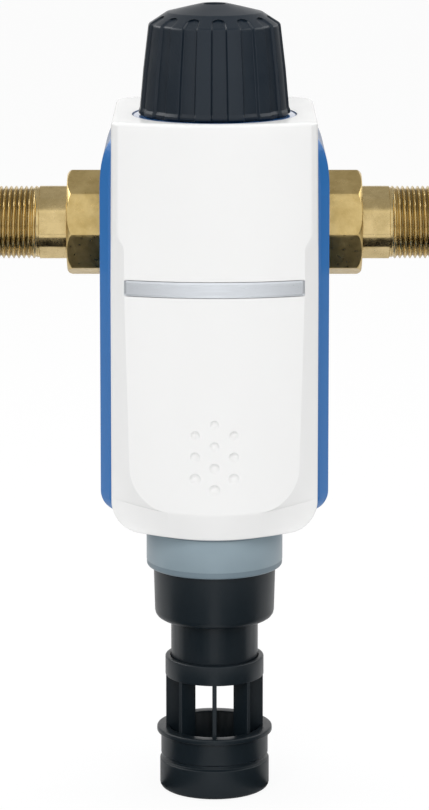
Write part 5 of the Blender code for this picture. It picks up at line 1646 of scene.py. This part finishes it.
@dataclass
class HeadAndBowl:
    """Brass head, its clamp ring and the filter bowl."""

    head_radius: float = 0.031
    tube_radius: float = 0.0208
    bore_radius: float = 0.013
    voxel: float = 0.0011
    port_depth: float = 0.022
    clamp_seat: float = 0.0036
    grips: int = 12
    grip_height: float = 0.0007
    bowl_wall: float = 0.0035
    bowl_flange_radius: float = 0.031
    bowl_flange: float = 0.0028

    def build(self) -> None:
        """Make the head casting, the clamp ring and the bowl."""
        self.build_head()
        self.build_clamp()
        self.build_bowl()

    def build_head(self) -> None:
        """Make the cast head with soft inner corners."""
        low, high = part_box("filter_head")
        pot = [(0.0, low.z, 0.0), (self.head_radius, low.z, 0.0008), (self.head_radius, high.z, 0.0012),
               (0.0, high.z, 0.0)]
        head = turned("head_casting", pot, solid=True)
        tube = [(0.0, low.x, 0.0), (self.tube_radius, low.x, 0.0005), (self.tube_radius, high.x, 0.0005),
                (0.0, high.x, 0.0)]
        boolean(head, turned("tool", tube, Axis.PIPE, solid=True), "UNION")
        for side in Side:
            ends = sorted((side.value * self.port_depth, side.value * (high.x + GAP)))
            boolean(head, rod_tool(self.bore_radius, ends[0], ends[1], Axis.PIPE), "DIFFERENCE")
        remesh = head.modifiers.new("cast", "REMESH")
        remesh.mode = "VOXEL"
        remesh.voxel_size = self.voxel
        soften = head.modifiers.new("soften", "SMOOTH")
        soften.factor = 0.5
        soften.iterations = 5
        settle(head)
        seated(dressed(head, HEAD_BRASS.material(), 60.0), Body.HOUSING, ["filter_head"])

    def build_clamp(self) -> None:
        """Make the clamp ring with its raised grips."""
        low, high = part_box("clamp_ring")
        outer = node_radius("clamp_ring") - self.grip_height
        bore = self.head_radius + GAP
        seat = low.z + self.clamp_seat
        bowl = BOWL_RADIUS + GAP
        material = DARK_PLASTIC.material()
        corners = [(bowl, low.z, 0.0004), (outer, low.z, 0.0008), (outer, high.z, 0.0008),
                   (bore, high.z, 0.0004), (bore, seat, 0.0), (bowl, seat, 0.0)]
        seated(dressed(turned("clamp_ring_body", corners), material), Body.HOUSING,
               ["clamp_ring"])
        half_arc = math.pi / self.grips * 0.5
        section = []
        for index in range(9):
            place = index / 4 - 1.0
            rise = self.grip_height * math.cos(0.5 * math.pi * abs(place)) ** 0.5 if abs(place) < 1.0 else 0.0
            section.append((half_arc * place, outer + rise))
        rings = []
        for height, end in ((low.z + 0.0012, True), (low.z + 0.0018, False),
                            (high.z - 0.0018, False), (high.z - 0.0012, True)):
            spots = [(outer - 0.0002 if end else radius, angle) for angle, radius in section]
            spots += [(outer - 0.0006, angle) for angle, _ in reversed(section)]
            rings.append([(radius * math.cos(angle), radius * math.sin(angle), height)
                          for radius, angle in spots])
        grips = RingOfCopies("clamp_grips", self.grips).around(skinned("clamp_ring_grips", rings), material)
        seated(grips, Body.HOUSING)

    def build_bowl(self) -> None:
        """Make the bowl with its flange."""
        low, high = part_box("filter_bowl")
        inner, outer = BOWL_RADIUS - self.bowl_wall, BOWL_RADIUS
        rim = self.bowl_flange_radius
        flange = high.z - self.bowl_flange
        corners = [(inner, low.z, 0.0), (outer, low.z, 0.0003), (outer, flange, 0.0004),
                   (rim, flange, 0.0003), (rim, high.z, 0.0003), (inner, high.z, 0.0003)]
        seated(dressed(turned("filter_bowl_moulding", corners), BOWL_PLASTIC.material()), Body.HOUSING,
               ["filter_bowl"])


# Drain end

@dataclass
class DrainEnd:
    """Grey ring, drain cup, and the funnel with its air gap."""

    ring_radius: float = 0.031
    cup_radius: float = 0.02785
    cup_foot_radius: float = 0.0271
    cup_corner: float = 0.005
    neck_radius: float = 0.01985
    neck_length: float = 0.0255
    neck_facets: int = 18
    facet_relief: float = 0.00022
    bead_drop: float = 0.0023
    bead_depth: float = 0.0007
    bead_height: float = 0.0025
    cup_wall: float = 0.0038
    cup_flange: float = 0.0024
    cup_floor: float = 0.004
    chamber_radius: float = 0.022
    chamber_top: float = 0.013
    valve_radius: float = 0.0085
    drain_radius: float = 0.012
    ring_seat: float = 0.0022
    band_start: float = 0.0030
    band_depth: float = 0.00012
    label_drop: float = 0.0012
    ribs: int = 8
    rib_thickness: float = 0.002
    rib_edge: float = 0.0003
    rib_sink: float = 0.6
    rib_lap: float = 0.0002
    rib_inner: float = 0.0131
    rib_outer: float = 0.0222
    air_gap: float = 0.0254
    ring_height: float = 0.0078
    ring_lap: float = 0.00125
    funnel_ring_radius: float = 0.0225
    flange_radius: float = 0.02635
    flange_height: float = 0.0025
    mouth_radius: float = 0.0208
    throat_radius: float = 0.0186
    throat_drop: float = 0.0125
    spigot_upper: float = 0.0245
    spigot_radius: float = 0.025
    spigot_bore: float = 0.021
    groove_drop: float = 0.010
    groove_height: float = 0.0027
    groove_depth: float = 0.0012

    def build(self) -> None:
        """Make every piece under the cover."""
        self.build_ring()
        self.build_cup()
        self.build_funnel()

    def build_ring(self) -> None:
        """Make the grey ring and the bare label band round it."""
        low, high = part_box("bowl_ring")
        bore = self.cup_radius + GAP
        seat = low.z + self.ring_seat
        bowl = BOWL_RADIUS + GAP
        body = self.ring_radius - self.band_depth
        band_foot = low.z + self.band_start
        band_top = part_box("front_cover")[0].z - self.label_drop
        corners = [(bore, low.z, 0.0), (body, low.z, 0.0022), (body, high.z, 0.0006),
                   (bowl, high.z, 0.0), (bowl, seat, 0.0), (bore, seat, 0.0)]
        seated(dressed(turned("bowl_ring_moulding", corners), RING_PLASTIC.material()), Body.HOUSING,
               ["bowl_ring"])
        film = [(body - 0.0001, band_foot, 0.0), (self.ring_radius, band_foot, 0.00004),
                (self.ring_radius, band_top, 0.00004), (body - 0.0001, band_top, 0.0)]
        band = dressed(turned("bare_label_band", film, steps=2), LABEL_FILM.material())
        seated(band, Body.HOUSING)

    def build_cup(self) -> None:
        """Make the drain cup with its faceted neck."""
        low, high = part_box("drain_cup")
        foot = low.z + self.neck_length
        bead = low.z + self.bead_drop
        neck = self.neck_radius
        proud = neck + self.bead_depth
        flange = high.z - self.cup_flange
        inner = self.cup_radius - self.cup_wall
        floor, roof = foot + self.cup_floor, foot + self.chamber_top
        corners = [(inner, high.z, 0.0), (inner, roof, 0.0), (self.chamber_radius, roof, 0.0),
                   (self.chamber_radius, floor, 0.0), (self.valve_radius, floor, 0.0004),
                   (self.valve_radius, foot, 0.0004), (self.drain_radius, foot, 0.0),
                   (self.drain_radius, low.z, 0.0005), (neck, low.z, 0.0006), (neck, bead - 0.0007, 0.0),
                   (proud, bead, 0.0002), (proud, bead + self.bead_height, 0.0002),
                   (neck, bead + self.bead_height, 0.0), (neck, foot, 0.0008),
                   (self.cup_foot_radius, foot, self.cup_corner), (self.cup_radius, flange, 0.0),
                   (BOWL_RADIUS, flange, 0.0), (BOWL_RADIUS, high.z, 0.0)]

        def faceted(radius: float, angle: float, station: float) -> float:
            """Give the neck its shallow flats.

            Args:
                radius: Radius of the round profile.
                angle: Angle round the axis.
                station: Height of the point.

            Returns:
                The radius to use.
            """
            if abs(radius - neck) > 0.00001 or not bead + 0.003 < station < foot:
                return radius
            sector = math.tau / self.neck_facets
            local = angle % sector - sector / 2
            return min(radius, radius * math.cos(sector / 2) / math.cos(local) + self.facet_relief)

        cup = turned("drain_cup_moulding", corners, sides=180, shape=faceted)
        seated(dressed(cup, DARK_PLASTIC.material()), Body.HOUSING, ["drain_cup"])

    def build_funnel(self) -> None:
        """Make the snap ring, the ribs and the spigot of the drain funnel."""
        low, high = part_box("drain_funnel")
        rib_top = high.z - self.ring_height
        flange_top = rib_top - self.air_gap
        material = DARK_PLASTIC.material()
        bore = self.neck_radius + GAP
        wide = bore + self.bead_depth
        ring_foot = rib_top - self.ring_lap
        neck_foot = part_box("drain_cup")[0].z
        corners = [(bore, ring_foot, 0.0003), (self.funnel_ring_radius, ring_foot, 0.0004),
                   (self.funnel_ring_radius, high.z, 0.0007), (bore, high.z, 0.0003),
                   (bore, neck_foot + 0.0051, 0.0), (wide, neck_foot + 0.0051, 0.0),
                   (wide, neck_foot + 0.0013, 0.0), (bore, neck_foot + 0.0006, 0.0)]
        ring = dressed(turned("funnel_snap_ring", corners), material)
        seated(ring, Body.FUNNEL, ["drain_funnel"])
        self.build_ribs(rib_top, flange_top, material)
        self.build_spigot(low.z, flange_top, material)

    def build_ribs(self, rib_top: float, flange_top: float, material: Material) -> None:
        """Make the upright ribs over the air gap.

        Args:
            rib_top: Height of the ribs' upper ends.
            flange_top: Height of the flange's top.
            material: Material of the funnel.
        """
        half = 0.5 * self.rib_thickness
        edge = self.rib_edge
        low = flange_top - self.rib_sink * self.throat_drop
        inner, outer = self.rib_inner, self.rib_outer
        plan = [(inner + edge, -half), (outer - edge, -half), (outer, -half + edge), (outer, half - edge),
                (outer - edge, half), (inner + edge, half), (inner, half - edge), (inner, -half + edge)]
        rings = [[(x, y, z) for x, y in plan] for z in (low, rib_top + self.rib_lap)]
        one = skinned("funnel_ribs", rings)
        ribs = RingOfCopies("funnel_rib_ring", self.ribs, -math.pi / 2).around(one, material)
        seated(ribs, Body.FUNNEL)

    def build_spigot(self, foot: float, flange_top: float, material: Material) -> None:
        """Make the flange, the cone and the spigot.

        Args:
            foot: Height of the spigot's end.
            flange_top: Height of the flange's top.
            material: Material of the funnel.
        """
        flange_foot = flange_top - self.flange_height
        throat = flange_top - self.throat_drop
        groove = flange_foot - self.groove_drop
        low = groove - self.groove_height
        deep = self.spigot_radius - self.groove_depth
        corners = [(self.spigot_bore, foot, 0.0006), (self.spigot_radius, foot, 0.0026),
                   (self.spigot_radius, low, 0.0005), (deep, low + 0.0006, 0.0003),
                   (deep, groove - 0.0006, 0.0003), (self.spigot_upper, groove, 0.0003),
                   (self.spigot_upper, flange_foot, 0.0005),
                   (self.flange_radius, flange_foot, 0.0006), (self.flange_radius, flange_top, 0.0007),
                   (self.mouth_radius, flange_top, 0.0008), (self.throat_radius, throat, 0.001),
                   (self.throat_radius, throat - 0.002, 0.0004), (self.spigot_bore, throat - 0.005, 0.0)]
        spigot = dressed(turned("funnel_spigot", corners), material)
        seated(spigot, Body.FUNNEL)


# Carried CAD nodes

@dataclass(frozen=True)
class CarriedNodes:
    """CAD nodes that stay as they are, with a finish of their own."""

    finish: Finish
    nodes: tuple[str, ...]

    def dress(self) -> None:
        """Give each node the finish."""
        material = self.finish.material()
        for name in self.nodes:
            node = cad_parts[name]
            node.data.materials.clear()
            node.data.materials.append(material)
            LOG.info("%s keeps its solid, in %s", name, self.finish.name)


CARRIED = (
    CarriedNodes(STEEL, ("bonnet_screw_1", "bonnet_screw_2", "bonnet_screw_3", "bonnet_screw_4",
                         "shell_screw_left", "shell_screw_right")),
    CarriedNodes(THREAD_BRASS, ("spindle",)),
    CarriedNodes(DARK_PLASTIC, ("bonnet", "drain_plug")),
    CarriedNodes(NATURAL_PLASTIC, ("suction_rotor", "screen_cage", "rotor_bearing")),
    CarriedNodes(SCREEN, ("screen_mesh",)),
    CarriedNodes(FIBRE, ("union_gasket_left", "union_gasket_right")),
    CarriedNodes(RUBBER, ("bonnet_ring", "spindle_ring_upper", "spindle_ring_lower", "bowl_gasket",
                          "cup_gasket", "drain_plug_seal")),
)


# Studio

def sheet(low: Triple, high: Triple) -> tuple[list[Triple], list[tuple[int, ...]]]:
    """Draw a level or upright sheet between two opposite corners.

    Args:
        low: One corner.
        high: The opposite corner.

    Returns:
        The four corners in order, and the one face.
    """
    (x0, y0, z0), (x1, y1, z1) = low, high
    second = (x1, y0 if x0 != x1 else y1, z0)
    fourth = (x0, y1 if z0 == z1 else y0, z1)
    return [low, second, high, fourth], [(0, 1, 2, 3)]


@dataclass(frozen=True)
class SoftLamp:
    """Square area lamp that reflections don't show."""

    name: str
    place: Triple
    size: float
    power: float

    def build(self, aim: Triple) -> None:
        """Make the lamp.

        Args:
            aim: Point it faces.
        """
        data = bpy.data.lights.new(self.name, "AREA")
        data.shape = "RECTANGLE"
        data.size = data.size_y = self.size
        data.energy = self.power
        lamp = bpy.data.objects.new(self.name, data)
        lamp.location = self.place
        lamp.rotation_euler = (Vector(aim) - Vector(self.place)).to_track_quat("-Z", "Y").to_euler()
        lamp.visible_glossy = False
        bpy.context.scene.collection.objects.link(lamp)
        lamp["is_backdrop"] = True


LAMPS = (
    SoftLamp("key_lamp", (-0.55, -1.4, 0.8), 0.8, 8.7),
    SoftLamp("fill_lamp", (0.7, -1.35, 0.5), 0.9, 5.2),
    SoftLamp("top_lamp", (0.0, 0.2, 1.3), 0.8, 9.0),
)


@dataclass
class Studio:
    """Floor, lamps, world and camera."""

    floor_gap: float = 0.0005
    floor_roughness: float = 0.9
    floor_glow: float = 1.04
    floor_glow_share: float = 0.88
    camera_distance: float = 1.6103
    camera_height: float = 0.2458
    tilt: float = 8.365
    lens: float = 158.2
    shift: float = -0.25
    floor_half: float = 6.0
    world_light: float = 0.45
    card_half: float = 1.5
    card_near: float = -1.4
    card_far: float = 2.0
    card_open: float = 0.7
    card_high: float = 1.6
    card_upper: float = 0.4
    under_inner: float = 0.026
    under_outer: float = 0.32
    under_front: float = -0.31
    under_back: float = -0.025
    glow_below: float = 0.0
    glow_sides: Pair = (0.16, 0.10)
    glow_above: float = 0.45
    window_near: float = -0.6
    window_far: float = 1.4
    window_low: float = 0.6
    window_high: float = 2.2
    glow_windows: Pair = (4.0, 2.5)
    aim_height: float = -0.06

    def build(self) -> None:
        """Make the studio."""
        self.build_floor()
        self.build_world()
        self.build_cards()
        self.build_lamps()
        self.build_camera()

    def build_floor(self) -> None:
        """Make the plain pale floor under the spigot."""
        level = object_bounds()[0].z - self.floor_gap
        half = self.floor_half
        floor = piece_from("studio_floor", *sheet((-half, -half, level), (half, half, level)))
        shader = Shader("studio_floor")
        shade = shader.noise(0.6, 1.0)
        shader.feed("Base Color", shader.ramp(shade, [(0.3, (0.86, 0.86, 0.86)), (0.7, (0.88, 0.88, 0.88))]))
        shader.constant("Roughness", self.floor_roughness)
        tree = shader.tree
        white = add_node(tree, "ShaderNodeEmission", {"Strength": self.floor_glow})
        path = tree.nodes.new("ShaderNodeLightPath")
        seen = add_node(tree, "ShaderNodeMath", {0: path.outputs["Is Camera Ray"], 1: self.floor_glow_share},
                        operation="MULTIPLY")
        blend = add_node(tree, "ShaderNodeMixShader", {
            "Fac": seen.outputs[0], 1: shader.surface.outputs["BSDF"], 2: white.outputs["Emission"]})
        tree.links.new(blend.outputs["Shader"], tree.nodes["Material Output"].inputs["Surface"])
        floor.data.materials.append(shader.material)
        floor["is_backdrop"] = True

    def build_world(self) -> None:
        """Make a pale world that lights evenly and shows as white, also in metal and clear parts."""
        world = bpy.data.worlds.new("studio_world")
        bpy.context.scene.world = world
        world.use_nodes = True
        tree = world.node_tree
        glow = tree.nodes["Background"]
        glow.inputs["Color"].default_value = (1.0, 1.0, 1.0, 1.0)
        path = tree.nodes.new("ShaderNodeLightPath")
        seen = path.outputs["Is Camera Ray"]
        for ray in ("Is Glossy Ray", "Is Transmission Ray"):
            seen = larger(tree, seen, path.outputs[ray])
        strength = add_node(tree, "ShaderNodeMapRange", {
            "Value": seen, "To Min": self.world_light, "To Max": 1.0})
        tree.links.new(strength.outputs["Result"], glow.inputs["Strength"])

    @staticmethod
    def card(name: str, low: Triple, high: Triple, glow: float) -> None:
        """Make one card that only reflections show.

        Args:
            name: Name of the card.
            low: One of its corners.
            high: The opposite corner.
            glow: Brightness, 0 for black, 1 for white and more for a window.
        """
        card = piece_from(name, *sheet(low, high))
        shader = Shader(name)
        grey = add_node(shader.tree, "ShaderNodeEmission", {"Strength": glow})
        surface = shader.tree.nodes["Material Output"].inputs["Surface"]
        shader.tree.links.new(grey.outputs["Emission"], surface)
        card.data.materials.append(shader.material)
        card.visible_camera = False
        card.visible_diffuse = False
        card.visible_transmission = False
        card.visible_shadow = False
        card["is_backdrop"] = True

    def build_cards(self) -> None:
        """Make the cards that shape what metal and plastic reflect from below, the sides and above."""
        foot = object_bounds()[0].z - GAP
        half, near, far, high = self.card_half, self.card_near, self.card_far, self.card_high
        for side, glow, window in zip(Side, self.glow_sides, self.glow_windows):
            out = side.value * half
            self.card(f"card_{side.word}", (out, near, foot), (out, far, self.card_upper), glow)
            self.card(f"card_under_{side.word}", (side.value * self.under_inner, self.under_front, foot),
                      (side.value * self.under_outer, self.under_back, foot), self.glow_below)
            self.card(f"window_{side.word}", (out, self.window_near, self.window_low),
                      (out, self.window_far, self.window_high), window)
        self.card("card_behind", (-half, far, self.card_open), (half, far, high), self.glow_above)
        self.card("card_above", (-half, near, high), (half, far, high), self.glow_above)

    def build_lamps(self) -> None:
        """Make the key, fill and top lamps, all facing the middle of the filter."""
        middle = (0.0, FILTER_Y, self.aim_height)
        for lamp in LAMPS:
            lamp.build(middle)

    def build_camera(self) -> None:
        """Make the camera at the photograph's place."""
        data = bpy.data.cameras.new("photo_camera")
        data.lens = self.lens
        data.sensor_width = 36.0
        data.shift_y = self.shift
        data.clip_start = 0.05
        camera = bpy.data.objects.new("photo_camera", data)
        camera.location = (0.0, -self.camera_distance, self.camera_height)
        camera.rotation_euler = (math.radians(90.0 - self.tilt), 0.0, 0.0)
        bpy.context.scene.collection.objects.link(camera)
        bpy.context.scene.camera = camera
        bpy.context.scene.view_settings.view_transform = "Standard"


def main() -> None:
    """Build every piece round the frame, then the studio."""
    logging.basicConfig(level=logging.INFO, format="%(name)s: %(message)s")
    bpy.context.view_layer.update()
    for carried in CARRIED:
        carried.dress()
    FrontCover().build()
    RearShell().build()
    HandKnob().build()
    for side in Side:
        PipeUnion(side).build()
    HeadAndBowl().build()
    DrainEnd().build()
    Studio().build()


if __name__ == "__main__":
    main()
